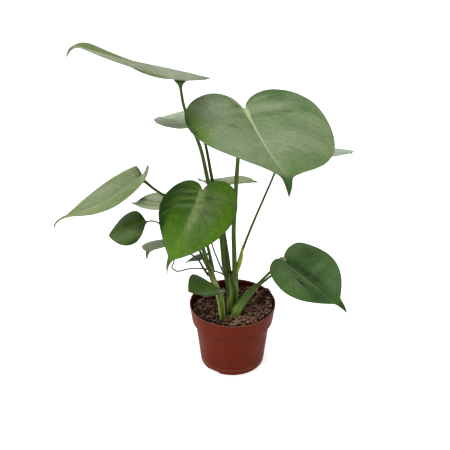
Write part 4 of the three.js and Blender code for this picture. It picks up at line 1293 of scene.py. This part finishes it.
CLUMPS = (
    Clump(
        "stalks_centre",
        (
            Stalk(
                [
                    (-1, -9, ROOT_DEPTH, 7.3), (-1, -9, 92, 7.3), (0, -9, 108, 7.5), (1, -9, 124, 7.2),
                    (-1, -8, 138, 6.2), (-2, -8, 149, 4.6),
                ],
                foot=0.82, head=0.5, lobes=4,
            ),
            Stalk(
                [
                    (-4, -9, 121, 3.6), (-11, -8, 156, 3.4), (-15, -6, 198, 3), (-20, -5, 228, 2.9),
                    (-32, -2, 282, 2.7), (-41, 1, 326, 2.4), (-53, 3, 360, 2.2), (-61, 4, 382, 2),
                    (-64, 5, 400, 1.9), (-65, 6, 411, 2.1), (-65, 5, 418, 3),
                ],
                foot=0.38, head=0.4, blade="blade_top_left", flare=5,
            ),
            Stalk(
                [
                    (-3, -6, 129, 3.6), (-8, -3, 172, 3.5), (-15.5, 0, 225, 3), (-26.6, 4, 280, 2.3),
                    (-34, 18, 318, 1.9), (-40, 37, 335, 1.7), (-44, 46, 343, 1.8), (-43, 48, 346, 2),
                ],
                foot=0.35, head=0.15, blade="blade_behind_top",
            ),
            Stalk(
                [
                    (3, -9, 121, 3.6), (2, -9, 177, 3.2), (1, -8, 215, 3), (3, -7, 259, 2.9),
                    (5, -6, 301, 2.7), (7, -5, 331, 2.5), (10, -6, 358, 2.4), (13, -14, 380, 2.6),
                    (14, -20, 388, 3.2),
                ],
                foot=0.5, head=0.36, blade="blade_top_right",
            ),
            Stalk(
                [
                    (5, -8, 120, 2.8), (5, -7, 144, 2.8), (8, -5, 163, 2.3), (14, -3, 184, 1.9),
                    (23, 0, 210, 1.7), (34, 3, 239, 1.6), (44, 6, 264, 1.5), (54, 11, 289, 1.5),
                    (60, 18, 308, 1.5), (63, 27, 316, 1.7), (64, 30, 318, 2),
                ],
                foot=0.55, head=0.2, blade="blade_behind_right",
            ),
            Stalk(
                [
                    (-4, -5, 118, 1.6), (-10, -3, 137, 1.4), (-22, 4, 166, 1.1), (-28, 8, 184, 1.1),
                    (-31, 17, 207, 1.1), (-33, 33, 227, 1.1), (-31, 47, 240, 1.2), (-28, 54, 249, 1.6),
                ],
                foot=0.3, head=0.15, blade="blade_behind_centre",
            ),
        ),
        (
            Sheath(
                [(5, -9, 146, 1.2), (8, -8, 160, 3.2), (11, -6, 174, 3), (13, -5, 189, 0.6)], (-0.5, -1, 0.2),
                70, Skin.FRESH_SHEATH,
            ),
            Sheath(
                [(-6, -15, 88, 2.4), (-7, -15, 98, 3), (-6, -15, 106, 2.2), (-5, -15, 113, 0.5)],
                (-0.2, -1, 0), 60, Skin.DRY_SHEATH,
            ),
        ),
    ),
    Clump(
        "stalks_left",
        (
            Stalk(
                [
                    (-14, -34, ROOT_DEPTH, 4.8), (-14, -34, 91, 4.8), (-15, -32, 105, 5), (-17, -31, 122, 5),
                    (-22, -30, 139, 4.7), (-27, -28, 154, 4.6), (-30, -27, 167, 4), (-33, -26, 176, 3.2),
                ],
                foot=0.76, head=0.66, lobes=3, blush=0.3,
            ),
            Stalk(
                [
                    (-31, -27, 167, 3.2), (-39, -29, 198, 2.8), (-43, -31, 225, 2.6), (-44, -34, 253, 2.5),
                    (-42, -38, 275, 2.5), (-39, -43, 287, 2.8), (-39, -45, 290, 3.2),
                ],
                foot=0.5, head=0.5, blade="blade_centre_front",
            ),
            Stalk(
                [
                    (-26, -25, 160, 2.6), (-33, -20, 195, 2.1), (-41, -18, 217, 2), (-53, -17, 239, 1.9),
                    (-71, -16, 256, 1.8), (-87, -17, 269, 1.8), (-101, -16, 279, 1.8), (-110, -15, 287, 2),
                    (-115, -15, 291, 2.6),
                ],
                foot=0.45, head=0.3, blade="blade_far_left",
            ),
            Stalk(
                [
                    (-32, -24, 163, 2.2), (-43, -11, 181, 1.6), (-48, -3, 200, 1.5), (-58, 8, 219, 1.4),
                    (-67, 19, 231, 1.5), (-70.5, 24, 236, 1.9),
                ],
                foot=0.4, head=0.2, blade="blade_mid_left",
            ),
            Stalk(
                [
                    (-32, -27, 155, 2), (-39, -24, 165, 1.5), (-46, -20, 176, 1.3), (-56, -14, 181, 1.2),
                    (-65, -7, 181, 1.2), (-73, 1, 181, 1.3), (-76, 4, 184, 1.4), (-76, 5, 187, 1.6),
                ],
                foot=0.4, head=0.2, blade="blade_low_left",
            ),
            Stalk(
                [
                    (-29, -25, 157, 1.8), (-34, -19, 163, 1.3), (-36, -9, 162, 1.2), (-38, 1, 161, 1.2),
                    (-39, 8, 164, 1.5),
                ],
                foot=0.4, head=0.2, blade="blade_bud",
            ),
            Stalk(
                [
                    (-16, -34, 112, 2.6), (-16, -40, 124, 2), (-15.5, -45, 136, 1.9), (-15, -48, 143, 1.9),
                    (-15, -48, 146, 2),
                ],
                foot=0.6, head=0.55, blade="blade_seedling",
            ),
        ),
        (
            Sheath(
                [(-20, -34, 138, 1), (-25, -32, 150, 2), (-29, -31, 160, 1.6), (-31, -30, 168, 0.4)],
                (0.3, -1, 0.1), 60, Skin.DRY_SHEATH,
            ),
        ),
    ),
    Clump(
        "stalks_right",
        (
            Stalk(
                [
                    (4, -25, ROOT_DEPTH, 6.6), (4, -25, 91, 6.6), (7, -26, 101, 6.8), (12, -24, 109, 6.2),
                    (19, -24, 120, 5.4), (27, -24, 131, 4.3), (33, -23, 138, 3.2),
                ],
                foot=0.95, head=0.34,
            ),
            Stalk(
                [
                    (33, -24, 138, 2.4), (40, -19, 144, 1.9), (51, -12, 152, 1.9), (58, -5, 157, 2.2),
                    (63, -1, 162, 2.8), (66, -1, 165.5, 3.2), (69, -3, 165.5, 3), (71, -5, 164, 2.8),
                ],
                # The palest head tone is part of the painted highlight on the joint.
                foot=0.4, head=1.0, blade="blade_right", over_notch=True,
            ),
            Stalk(
                [
                    (35, -22, 137, 2), (44, -15, 140, 1.6), (53, -6, 142, 1.5), (65, 6, 139, 1.4),
                    (76, 18, 136, 1.4), (83, 25, 137, 1.5), (84, 27, 143, 1.9),
                ],
                foot=0.35, head=0.2, blade="blade_right_hidden",
            ),
        ),
    ),
    Clump(
        "stalk_ovate",
        (
            Stalk([(-9, -22, ROOT_DEPTH, 1.5), (-9, -22, 90, 1.5), (-10, -21, 106, 1.3)], foot=0.1, head=0.1),
            Stalk(
                [
                    (-10, -21, 104, 1.3), (-8, -20, 120, 1.2), (-6, -19, 134, 1.1), (-7, -18, 144, 1.1),
                    (-14, -17, 152, 1.1), (-27, -17, 157, 1), (-41, -18, 161, 1), (-57, -20, 162, 1),
                    (-73, -25, 161, 1), (-79, -29, 167, 1), (-80, -38, 176, 1), (-76, -47, 192, 1),
                    (-76, -52, 210, 1), (-84, -46, 227, 1), (-94, -34, 238, 1), (-105, -26, 238, 1.1),
                    (-113, -20, 234, 1.5),
                ],
                foot=0.2, head=0.45, blade="blade_ovate",
            ),
        ),
    ),
)


@dataclass(frozen=True)
class PotFinish:
    """Moulded brick-red plastic, with painted shade inside it and under the collar, a painted highlight along
    the lip and on the base ring, and pale scuffs.
    """

    outside: Colour = tint(104, 32, 8)
    inside: Colour = tint(62, 14, 8)
    shade: Colour = tint(18, 4, 2)
    scuff_and_highlight: Colour = tint(206, 150, 128)
    roughness: float = 0.5

    def make(self) -> bpy.types.Material:
        """Make the plastic: a faint flow pattern, fine grain and light scuffs.

        Returns:
            The material.
        """
        board = Board("pot_plastic")
        flow = board.speckle(9, 3, board.place((1, 1, 0.35)))
        colour = board.mix(board.rise(flow, 0.35, 0.65, 0, 0.35), self.outside, self.inside)
        # Painted shade: the darker plastic inside the pot, and darker still under the collar.
        colour = board.mix(board.rise(board.value("inner"), 0, 1), colour, self.inside)
        colour = board.mix(board.rise(board.value("inner"), 1, 1.6, 0, 0.7), colour, self.shade)
        scuffs = board.rise(board.speckle(1, 4, board.place((240, 240, 60))), 0.66, 0.84, 0, 0.1)
        colour = board.mix(scuffs, colour, self.scuff_and_highlight)
        # Painted highlight along the lip and the base ring.
        colour = board.mix(board.value("wear"), colour, self.scuff_and_highlight)
        grain = board.plus(board.speckle(1500, 2), board.times(flow, 0.6))
        rough = board.rise(board.speckle(40, 4), 0.3, 0.7, self.roughness - 0.05, self.roughness + 0.08)
        return board.close(colour, rough, board.lift(grain, 0.12, 0.0003), Specular_IOR_Level=0.07)


@dataclass
class Pot:
    """The round nursery pot: a turned shell with a deep collar, a lip, drain holes and notches at its foot.

    Its height and its radius over the rim come from its solid. The rest are its own sizes in millimetres.
    """

    collar_foot_height: float = 69
    collar_foot_radius: float = 56.6
    wall_top_radius: float = 52.4
    base_radius: float = 44.6
    base_corner: float = 3.6
    wall: float = 1.7
    floor: float = 2.2
    wall_heights: tuple[float, ...] = (30, 50, 64)
    collar_middle: float = 80
    lip_width: float = 1.5
    lip_height: float = 3
    lip_overhang: float = 0.4
    edge: float = 0.6
    ring_height: float = 10
    ring_half: float = 0.4
    ring_reach: float = 1
    ring_rise: float = 0.12
    notch_angles: tuple[float, ...] = (-125, -5, 115)
    notch_width: float = 19
    notch_height: float = 4
    notch_depth: float = 14
    drain_radius: float = 4
    drain_circle: float = 26
    drains: int = 4

    SEGMENTS = 160
    CREASE = 32
    CUT_PAST = 5
    DRAIN_TOP = 8
    DRAIN_SIDES = 32
    ARCH_POINTS = 17
    ARCH_SQUARE = 0.6

    def radius(self, height: float) -> float:
        """Find the pot's outer radius on the plain wall or on the collar.

        Args:
            height: The height.

        Returns:
            The radius there.
        """
        if height < self.collar_foot_height:
            share = height / self.collar_foot_height
            return self.base_radius + (self.wall_top_radius - self.base_radius) * share
        _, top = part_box("pot")
        share = (height - self.collar_foot_height) / (top.z / MM - self.collar_foot_height)
        return self.collar_foot_radius + (top.x / MM - self.collar_foot_radius) * share

    def outer(self, rim: float, height: float) -> list[tuple[float, float, float, float]]:
        """Give the section's outer side, from above the base's corner to the inside of the lip.

        Args:
            rim: The radius over the rim.
            height: The pot's height.

        Returns:
            Rows of radius, height, painted highlight from 0 to 1, and painted shade: 1 in the pot, more in
            the collar's shade.
        """
        edge, ring, foot = self.edge, self.ring_height, self.collar_foot_height
        lip_foot = height - self.lip_height
        raised = self.radius(ring) + self.ring_rise
        return [
            (self.radius(ring - self.ring_reach), ring - self.ring_reach, 0, 0),
            # A faint painted highlight on the raised ring.
            (raised, ring - self.ring_half, 0.1, 0),
            (raised, ring + self.ring_half, 0.1, 0),
            (self.radius(ring + self.ring_reach), ring + self.ring_reach, 0, 0),
            *((self.radius(level), level, 0, 0) for level in self.wall_heights),
            # Painted shade under the collar's foot.
            (self.wall_top_radius, foot - 0.3, 0, 0.6),
            (self.wall_top_radius + 0.3, foot, 0, 1.6),
            (self.collar_foot_radius - edge, foot, 0, 1.6),
            (self.collar_foot_radius - 0.15, foot + 0.2, 0, 1.2),
            (self.collar_foot_radius, foot + edge, 0, 0.7),
            (self.radius(foot + 3), foot + 3, 0, 0.05),
            (self.radius(self.collar_middle), self.collar_middle, 0, 0),
            (self.radius(lip_foot) - self.lip_overhang, lip_foot, 0, 0),
            (self.radius(lip_foot) + self.lip_overhang, lip_foot + edge, 0, 0),
            (rim, height - edge, 0, 0),
            # Painted highlight along the lip's top.
            (rim - 0.15, height - 0.15, 0.15, 0),
            (rim - edge * 0.7, height, 0.5, 0),
            (rim - self.lip_width + 0.4, height, 0.5, 0),
            (rim - self.lip_width, height - 0.4, 0.1, 0.6),
        ]

    def profile(self) -> list[tuple[float, float, float, float]]:
        """Give the whole section, from the middle of the underside round to the middle of the floor.

        Returns:
            Rows of radius, height, painted highlight and painted shade.
        """
        _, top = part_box("pot")
        rim, height = top.x / MM, top.z / MM
        lip_foot, shelf, low = height - self.lip_height, self.collar_foot_height + self.wall, self.base_corner
        reach = self.radius(low) - self.base_radius + low
        corner = [
            (self.base_radius - low + reach * math.sin(angle), low * (1 - math.cos(angle)), 0, 0)
            for angle in np.radians([0, 18, 36, 54, 72, 90])
        ]
        # The inside's rows carry painted shade.
        inner = [
            (self.radius(lip_foot) - self.wall, lip_foot, 0, 1),
            (self.radius(shelf) - self.wall, shelf, 0, 1),
            (self.wall_top_radius - self.wall, shelf - self.edge, 0, 1),
            (self.radius(low) - self.wall, self.floor + low - self.wall, 0, 1),
            (self.base_radius - low - self.wall / 2, self.floor, 0, 1),
        ]
        return [(0, 0, 0, 0), *corner, *self.outer(rim, height), *inner, (0, self.floor, 0, 1)]

    def shell(self) -> Form:
        """Turn the section into a closed shell.

        Returns:
            The shell.
        """
        rows = np.array(self.profile())
        angles = np.arange(self.SEGMENTS) / self.SEGMENTS * 2 * np.pi
        turned = rows[1:-1]
        radii, levels = turned[:, 0], turned[:, 1]
        points = [np.stack([radii * math.cos(a), radii * math.sin(a), levels], 1) for a in angles]
        rings = len(turned)
        total = rings * self.SEGMENTS
        faces = []
        for i in range(self.SEGMENTS):
            here, there = i * rings, (i + 1) % self.SEGMENTS * rings
            faces.extend((here + k, there + k, there + k + 1, here + k + 1) for k in range(rings - 1))
            faces.append((total, there, here))
            faces.append((total + 1, here + rings - 1, there + rings - 1))
        ends = np.array([[0, 0, rows[0, 1]], [0, 0, rows[-1, 1]]])
        form = Form()
        form.add(
            np.concatenate([*points, ends]), faces,
            wear=np.concatenate([np.tile(turned[:, 2], self.SEGMENTS), [0, 0]]),
            inner=np.concatenate([np.tile(turned[:, 3], self.SEGMENTS), [0, 1]]),
        )
        return form

    def notch(self, angle: float) -> bpy.types.Object:
        """Make the cutter of one drain notch: a flat-topped arch pointing out of the pot.

        Args:
            angle: The way that it points.

        Returns:
            The cutter.
        """
        half, high, square = self.notch_width / 2, self.notch_height, self.ARCH_SQUARE
        arch = [
            (half * np.sign(math.cos(a)) * abs(math.cos(a)) ** square, high * math.sin(a) ** square)
            for a in np.radians(np.linspace(0, 180, self.ARCH_POINTS))
        ]
        section = [(half, -self.CUT_PAST), *arch, (-half, -self.CUT_PAST)]
        near, far = self.base_radius - self.notch_depth / 2, self.base_radius + self.notch_depth / 2
        points = np.array([(x, y, z) for x in (near, far) for y, z in section])
        c, s = math.cos(math.radians(angle)), math.sin(math.radians(angle))
        spin = np.array([[c, -s, 0], [s, c, 0], [0, 0, 1]])
        form = Form()
        form.add(points @ spin.T, tube_faces(2, len(section)))
        return form.finish("notch_cutter", [])

    def drain(self, angle: float) -> bpy.types.Object:
        """Make the cutter of one drain hole, a short upright rod.

        Args:
            angle: Where it stands on the circle of holes, in radians.

        Returns:
            The cutter.
        """
        x, y = self.drain_circle * math.cos(angle), self.drain_circle * math.sin(angle)
        route = [(x, y, level, self.drain_radius) for level in (-self.CUT_PAST, self.DRAIN_TOP)]
        rings, _ = sweep(np.array(route), self.DRAIN_SIDES, 1)
        form = Form()
        form.add(rings.reshape(-1, 3), tube_faces(2, self.DRAIN_SIDES))
        return form.finish("drain_cutter", [])

    def build(self) -> bpy.types.Object:
        """Build the pot, cut its notches and holes, and dress it.

        Returns:
            The piece.
        """
        piece = self.shell().finish("nursery_pot", [PotFinish().make()], self.CREASE)
        cutters = [self.notch(angle) for angle in self.notch_angles]
        cutters += [self.drain(2 * math.pi * i / self.drains) for i in range(self.drains)]
        for cutter in cutters:
            cut = piece.modifiers.new("cut", "BOOLEAN")
            cut.object = cutter
            cut.operation = "DIFFERENCE"
            cut.solver = "EXACT"
        seen = piece.evaluated_get(bpy.context.evaluated_depsgraph_get())
        whole = bpy.data.meshes.new_from_object(seen)
        piece.modifiers.clear()
        piece.data = whole
        whole.set_sharp_from_angle(angle=math.radians(self.CREASE))
        for cutter in cutters:
            bpy.data.objects.remove(cutter)
        return dress(piece, "pot", "pot")


@dataclass(frozen=True)
class LitterFinish:
    """What the soil is made of: each bit's tone runs from black peat through brown bark to pale coir."""

    black: Colour = tint(14, 8, 7)
    brown: Colour = tint(50, 27, 22)
    red: Colour = tint(122, 70, 50)
    pale: Colour = tint(214, 176, 150)

    def make(self) -> bpy.types.Material:
        """Make the dry, rough stuff, with each bit's own tone and a fine grain.

        Returns:
            The material.
        """
        board = Board("soil_litter")
        tone = board.plus(board.value("tone"), board.rise(board.speckle(260, 4), 0.3, 0.7, -0.12, 0.12))
        colour = board.mix(board.rise(tone, 0.05, 0.4), self.black, self.brown)
        colour = board.mix(board.rise(tone, 0.4, 0.7), colour, self.red)
        colour = board.mix(board.rise(tone, 0.7, 1.0), colour, self.pale)
        height = board.speckle(1300, 5)
        return board.close(colour, 0.85, board.lift(height, 0.6, 0.0006), Specular_IOR_Level=0.25)


@dataclass
class Soil:
    """The soil, risen to the front and the right, and the litter of bark, crumbs and fibres that covers it.

    filling_floor is the soil's radius on the pot's floor and filling its side from there up, as rows of
    radius and height. Sizes of litter are the least and the most that a bit is given.
    """

    height: float = 88
    rise_front: float = 0.085
    rise_right: float = 0.08
    bump: float = 0.9
    bump_first: tuple[float, float] = (0.31, 0.27)
    bump_second: tuple[float, float] = (0.17, 0.41)
    bump_share: float = 0.6
    heap: tuple[float, float] = (49, 22)
    heap_rise: float = 12
    heap_spread: float = 8
    filling_floor: float = 39.85
    filling: tuple[tuple[float, float], ...] = ((42.65, 4.4), (50.2, 70.2), (54.7, 71.0))
    chips: int = 1150
    chip_long: tuple[float, float] = (1.3, 5.0)
    chip_wide: tuple[float, float] = (0.7, 2.3)
    chip_thick: tuple[float, float] = (0.5, 1.7)
    crumbs: int = 3000
    crumb_size: tuple[float, float] = (0.4, 1.1)
    grains: int = 110
    grain_size: tuple[float, float] = (0.5, 1.0)
    fibres: int = 1000
    fibre_long: tuple[float, float] = (4, 13)
    fibre_thick: tuple[float, float] = (0.16, 0.34)
    seed: int = 7

    RINGS = 46
    SEGMENTS = 144
    EDGE = 57.5
    BED_CREASE = 70
    CHIP_CREASE = 25
    CRUMB_CREASE = 20
    FIBRE_CREASE = 80
    BED_SINK = 1.2
    BED_ROUGH = 1.1
    DRY_MOST = 0.3
    DRY_LEAST = 0.02
    DRY_START = 48
    DRY_SLANT = 1.4
    DRY_SPREAD = 9
    STEM_ROOM = 0.6
    CHIP_REACH = 2.0
    CHIP_TILT = 24
    CRUMB_REACH = 0.8
    CRUMB_TILT = 60
    FIBRE_REACH = 3.0
    FIBRE_POINTS = 6
    FIBRE_SIDES = 3

    def level(self, x: float, y: float) -> float:
        """Find the height of the soil's top.

        Args:
            x: The place to the right.
            y: The place to the back.

        Returns:
            The height there.
        """
        (ax, ay), (bx, by) = self.bump_first, self.bump_second
        bumps = math.sin(x * ax) * math.cos(y * ay) + self.bump_share * math.sin(x * bx - y * by)
        away = ((x - self.heap[0]) ** 2 + (y - self.heap[1]) ** 2) / self.heap_spread**2
        slope = self.height - self.rise_front * y + self.rise_right * x
        return slope + self.bump * bumps + self.heap_rise * math.exp(-away)

    def dryness(self, x: float, y: float) -> float:
        """Give how much paler the litter is at a place: most in front and on the right."""
        off = x - self.DRY_SLANT * y - self.DRY_START
        return self.DRY_MOST / (1 + math.exp(-off / self.DRY_SPREAD)) - self.DRY_LEAST

    def clear(self, x: float, y: float, reach: float) -> bool:
        """Tell whether a bit of litter is clear of the stems and of the pot's wall.

        Args:
            x: Its place to the right.
            y: Its place to the back.
            reach: How far it reaches.

        Returns:
            Whether it is clear.
        """
        if math.hypot(x, y) + reach > self.EDGE:
            return False
        feet = [clump.stalks[0].route[0] for clump in CLUMPS]
        return all(math.hypot(x - fx, y - fy) > r + reach * self.STEM_ROOM for fx, fy, _, r in feet)

    def bed(self, finish: bpy.types.Material) -> bpy.types.Object:
        """Build the soil itself: crumbly on top, filling the pot to its floor.

        Args:
            finish: The litter's material.

        Returns:
            The piece.
        """
        lowest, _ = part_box("soil")
        floor = lowest.z / MM
        angles = np.arange(self.SEGMENTS) / self.SEGMENTS * 2 * np.pi
        points, tones = [(0, 0, floor)], [0.1]
        sides = ((self.filling_floor, floor), *self.filling)
        for radius, height in sides:
            points.extend((radius * math.cos(a), radius * math.sin(a), height) for a in angles)
            tones.extend([0.15] * self.SEGMENTS)
        for i in range(self.RINGS, 0, -1):
            radius = self.EDGE * i / self.RINGS
            for a in angles:
                x, y = radius * math.cos(a), radius * math.sin(a)
                rough = noise.noise(Vector((x, y, 0)) * 0.35) + 0.6 * noise.noise(Vector((x, y, 9)) * 0.9)
                points.append((x, y, self.level(x, y) - self.BED_SINK + self.BED_ROUGH * rough))
                tones.append(0.08 + 0.25 * rough)
        points.append((0, 0, self.level(0, 0) - self.BED_SINK))
        tones.append(0.2)
        rings = len(sides) + self.RINGS
        faces = []
        for i in range(self.SEGMENTS):
            j = (i + 1) % self.SEGMENTS
            faces.append((0, 1 + j, 1 + i))
            for k in range(rings - 1):
                a, b = 1 + k * self.SEGMENTS + i, 1 + k * self.SEGMENTS + j
                faces.append((a, b, b + self.SEGMENTS, a + self.SEGMENTS))
            top = 1 + (rings - 1) * self.SEGMENTS
            faces.append((top + i, top + j, len(points) - 1))
        form = Form()
        form.add(np.array(points), faces, tone=np.array(tones))
        return dress(form.finish("soil_bed", [finish], self.BED_CREASE), "soil", "soil")

    def spots(self, dice: np.random.Generator, count: int, reach: float) -> list[tuple[float, float]]:
        """Draw places for litter.

        Args:
            dice: The seeded source of chance.
            count: How many places.
            reach: How far each bit reaches.

        Returns:
            The places, clear of stems and wall.
        """
        found = []
        while len(found) < count:
            radius, angle = self.EDGE * math.sqrt(dice.random()), dice.random() * 2 * math.pi
            x, y = radius * math.cos(angle), radius * math.sin(angle)
            if self.clear(x, y, reach):
                found.append((x, y))
        return found

    @staticmethod
    def turned(dice: np.random.Generator, tilt: float) -> np.ndarray:
        """Draw a turn: any way round, and leaning about as far as given.

        Args:
            dice: The seeded source of chance.
            tilt: The usual lean in degrees.

        Returns:
            The turn, as a matrix.
        """
        spin, lean = dice.random() * 2 * math.pi, dice.normal(0, math.radians(tilt), 2)
        c, s = math.cos(spin), math.sin(spin)
        flat = np.array([[c, -s, 0], [s, c, 0], [0, 0, 1]])
        (cx, cy), (sx, sy) = np.cos(lean), np.sin(lean)
        roll = np.array([[1, 0, 0], [0, cx, -sx], [0, sx, cx]])
        pitch = np.array([[cy, 0, sy], [0, 1, 0], [-sy, 0, cy]])
        return roll @ pitch @ flat

    def bark(self, dice: np.random.Generator) -> Form:
        """Make the bark chips: flat, broken, many-sided flakes.

        Args:
            dice: The seeded source of chance.

        Returns:
            The chips.
        """
        form = Form()
        for x, y in self.spots(dice, self.chips, self.CHIP_REACH):
            sides = int(dice.integers(5, 8))
            long, wide = dice.uniform(*self.chip_long), dice.uniform(*self.chip_wide)
            thick = dice.uniform(*self.chip_thick)
            angles = (np.arange(sides) + dice.uniform(-0.25, 0.25, sides)) / sides * 2 * np.pi
            reach = dice.uniform(0.75, 1.1, sides)
            across, beside = np.cos(angles) * long * reach, np.sin(angles) * wide * reach
            ring = np.stack([across, beside, np.zeros(sides)], 1)
            under = ring * [0.85, 0.8, 1] + [0, 0, -thick / 2] + dice.normal(0, 0.12, (sides, 3))
            over = ring * [0.9, 0.85, 1] + [0, 0, thick / 2] + dice.normal(0, 0.15, (sides, 3))
            turn = self.turned(dice, self.CHIP_TILT)
            at = np.array([x, y, self.level(x, y) + dice.uniform(-0.6, 1.0)])
            tone = dice.beta(0.8, 2.6) + self.dryness(x, y)
            form.add(np.concatenate([under, over]) @ turn.T + at, tube_faces(2, sides), tone=tone)
        return form

    def crumb(self, dice: np.random.Generator) -> Form:
        """Make the crumbs of peat and bark, and the pale grains among them.

        Args:
            dice: The seeded source of chance.

        Returns:
            The crumbs and grains.
        """
        form = Form()
        corners = np.array([(1, 0, 0), (0, 1, 0), (-1, 0, 0), (0, -1, 0), (0, 0, 1), (0, 0, -1)], float)
        faces = [(0, 1, 4), (1, 2, 4), (2, 3, 4), (3, 0, 4), (1, 0, 5), (2, 1, 5), (3, 2, 5), (0, 3, 5)]
        for i, (x, y) in enumerate(self.spots(dice, self.crumbs + self.grains, self.CRUMB_REACH)):
            pale = i < self.grains
            size = dice.uniform(*(self.grain_size if pale else self.crumb_size))
            bit = corners * size * dice.uniform(0.6, 1.2, (6, 1)) @ self.turned(dice, self.CRUMB_TILT).T
            tone = dice.uniform(0.9, 1.05) if pale else dice.beta(0.7, 3.2)
            form.add(bit + [x, y, self.level(x, y) + dice.uniform(0, 1.3)], faces, tone=tone)
        return form

    def coir(self, dice: np.random.Generator) -> Form:
        """Make the coir fibres: thin bent strands that lie over the bark.

        Args:
            dice: The seeded source of chance.

        Returns:
            The fibres.
        """
        form = Form()
        for x, y in self.spots(dice, self.fibres, self.FIBRE_REACH):
            length, bow = dice.uniform(*self.fibre_long), dice.normal(0, 0.25)
            heading, thick = dice.uniform(0, 2 * math.pi), dice.uniform(*self.fibre_thick)
            share = np.linspace(-0.5, 0.5, self.FIBRE_POINTS)
            run = share * length
            side = bow * length * (share**2 - 0.25) * 2
            px = x + run * math.cos(heading) - side * math.sin(heading)
            py = y + run * math.sin(heading) + side * math.cos(heading)
            if np.hypot(px, py).max() > self.EDGE:
                continue
            base = np.array([self.level(a, b) for a, b in zip(px, py)])
            over = base + dice.uniform(0.4, 1.8)
            pz = over + dice.uniform(0, 1.4) * (1 - 4 * share**2) + dice.normal(0, 0.5) * share
            route = np.stack([px, py, pz, np.full(self.FIBRE_POINTS, thick)], 1)
            rings, _ = sweep(route, self.FIBRE_SIDES, self.FIBRE_POINTS)
            faces = tube_faces(self.FIBRE_POINTS + 1, self.FIBRE_SIDES)
            form.add(rings.reshape(-1, 3), faces, tone=dice.uniform(0.35, 1.0) + self.dryness(x, y))
        return form

    def build(self) -> None:
        """Build the soil and its litter, and dress them."""
        finish = LitterFinish().make()
        dice = np.random.default_rng(self.seed)
        self.bed(finish)
        dress(self.bark(dice).finish("bark_chips", [finish], self.CHIP_CREASE), "soil")
        dress(self.crumb(dice).finish("soil_crumbs", [finish], self.CRUMB_CREASE), "soil")
        dress(self.coir(dice).finish("coir_fibres", [finish], self.FIBRE_CREASE), "soil")


@dataclass(frozen=True)
class Lamp:
    """A square soft lamp that faces the plant. Places and sizes are in metres and its power is in watts."""

    name: str
    at: tuple[float, float, float]
    size: float
    power: float

    AIM = (0, 0, 0.2)

    def hang(self) -> None:
        """Hang the lamp."""
        light = bpy.data.lights.new(self.name, "AREA")
        light.size = self.size
        light.energy = self.power
        lamp = bpy.data.objects.new(self.name, light)
        lamp.location = self.at
        lamp.rotation_euler = (Vector(self.AIM) - Vector(self.at)).to_track_quat("-Z", "Y").to_euler()
        bpy.context.scene.collection.objects.link(lamp)


@dataclass
class Studio:
    """The floor, the soft light and the camera. Sizes are in metres and angles in degrees."""

    camera_at: tuple[float, float, float] = (-0.01044, -0.99414, 0.76707)
    camera_pitch: float = 61.07
    lens: float = 68.55
    sensor: float = 36
    floor_size: float = 8
    floor_glow: float = 0.6
    floor_drop: float = 0.00005
    far: float = 50
    sky: float = 0.62
    lamps: tuple[Lamp, ...] = (
        Lamp("top_softbox", (-0.3, 0.25, 1.9), 1.6, 26),
        Lamp("front_softbox", (-1.1, -1.5, 1.5), 1.2, 12),
    )

    def floor(self) -> None:
        """Lay the plain pale floor."""
        half, level = self.floor_size / 2 / MM, -self.floor_drop / MM
        corners = [(-half, -half, level), (half, -half, level), (half, half, level), (-half, half, level)]
        form = Form()
        form.add(np.array(corners), [(0, 1, 2, 3)])
        board = Board("pale_floor")
        colour = board.mix(board.rise(board.speckle(6, 2), 0.3, 0.7), (0.9, 0.9, 0.9), (0.93, 0.93, 0.93))
        glow = {"Emission Color": (1, 1, 1), "Emission Strength": self.floor_glow}
        surface = board.add("BsdfPrincipled", {"Base Color": colour, "Roughness": 0.9, **glow})
        board.add("OutputMaterial", {"Surface": surface.outputs[0]})
        form.finish("floor", [board.material])

    def world(self) -> None:
        """Surround the plant with an even pale sky, which the camera sees as white."""
        world = bpy.data.worlds.new("pale_sky")
        world.use_nodes = True
        tree = world.node_tree
        tree.nodes.clear()
        lit = tree.nodes.new("ShaderNodeBackground")
        lit.inputs["Strength"].default_value = self.sky
        seen = tree.nodes.new("ShaderNodeBackground")
        seen.inputs["Strength"].default_value = 1
        for node in (lit, seen):
            node.inputs["Color"].default_value = (1, 1, 1, 1)
        path = tree.nodes.new("ShaderNodeLightPath")
        mix = tree.nodes.new("ShaderNodeMixShader")
        out = tree.nodes.new("ShaderNodeOutputWorld")
        tree.links.new(path.outputs["Is Camera Ray"], mix.inputs[0])
        tree.links.new(lit.outputs[0], mix.inputs[1])
        tree.links.new(seen.outputs[0], mix.inputs[2])
        tree.links.new(mix.outputs[0], out.inputs[0])
        bpy.context.scene.world = world

    def camera(self) -> None:
        """Set the camera at the photograph's view."""
        lens = bpy.data.cameras.new("camera")
        lens.lens = self.lens
        lens.sensor_width = self.sensor
        lens.clip_end = self.far
        camera = bpy.data.objects.new("camera", lens)
        camera.location = self.camera_at
        camera.rotation_euler = (math.radians(self.camera_pitch), 0, 0)
        bpy.context.scene.collection.objects.link(camera)
        bpy.context.scene.camera = camera

    def build(self) -> None:
        """Set up the floor, the light and the camera."""
        self.floor()
        self.world()
        self.camera()
        for lamp in self.lamps:
            lamp.hang()
        bpy.context.scene.view_settings.view_transform = "Standard"


def main() -> None:
    """Build the studio and the plant; each dressed piece logs its face count and the solids that it stands
    for.
    """
    logging.basicConfig(level=logging.INFO, format="%(message)s")
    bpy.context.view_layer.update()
    Studio().build()
    Pot().build()
    Soil().build()
    skins = [
        StalkFinish().make(),
        SheathFinish("fresh", tint(118, 140, 30), tint(156, 166, 70)).make(),
        SheathFinish("dry", tint(138, 150, 90), tint(134, 132, 80)).make(),
    ]
    for clump in CLUMPS:
        clump.build(skins)
    for blade in BLADES:
        blade.build()
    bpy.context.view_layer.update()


if __name__ == "__main__":
    main()
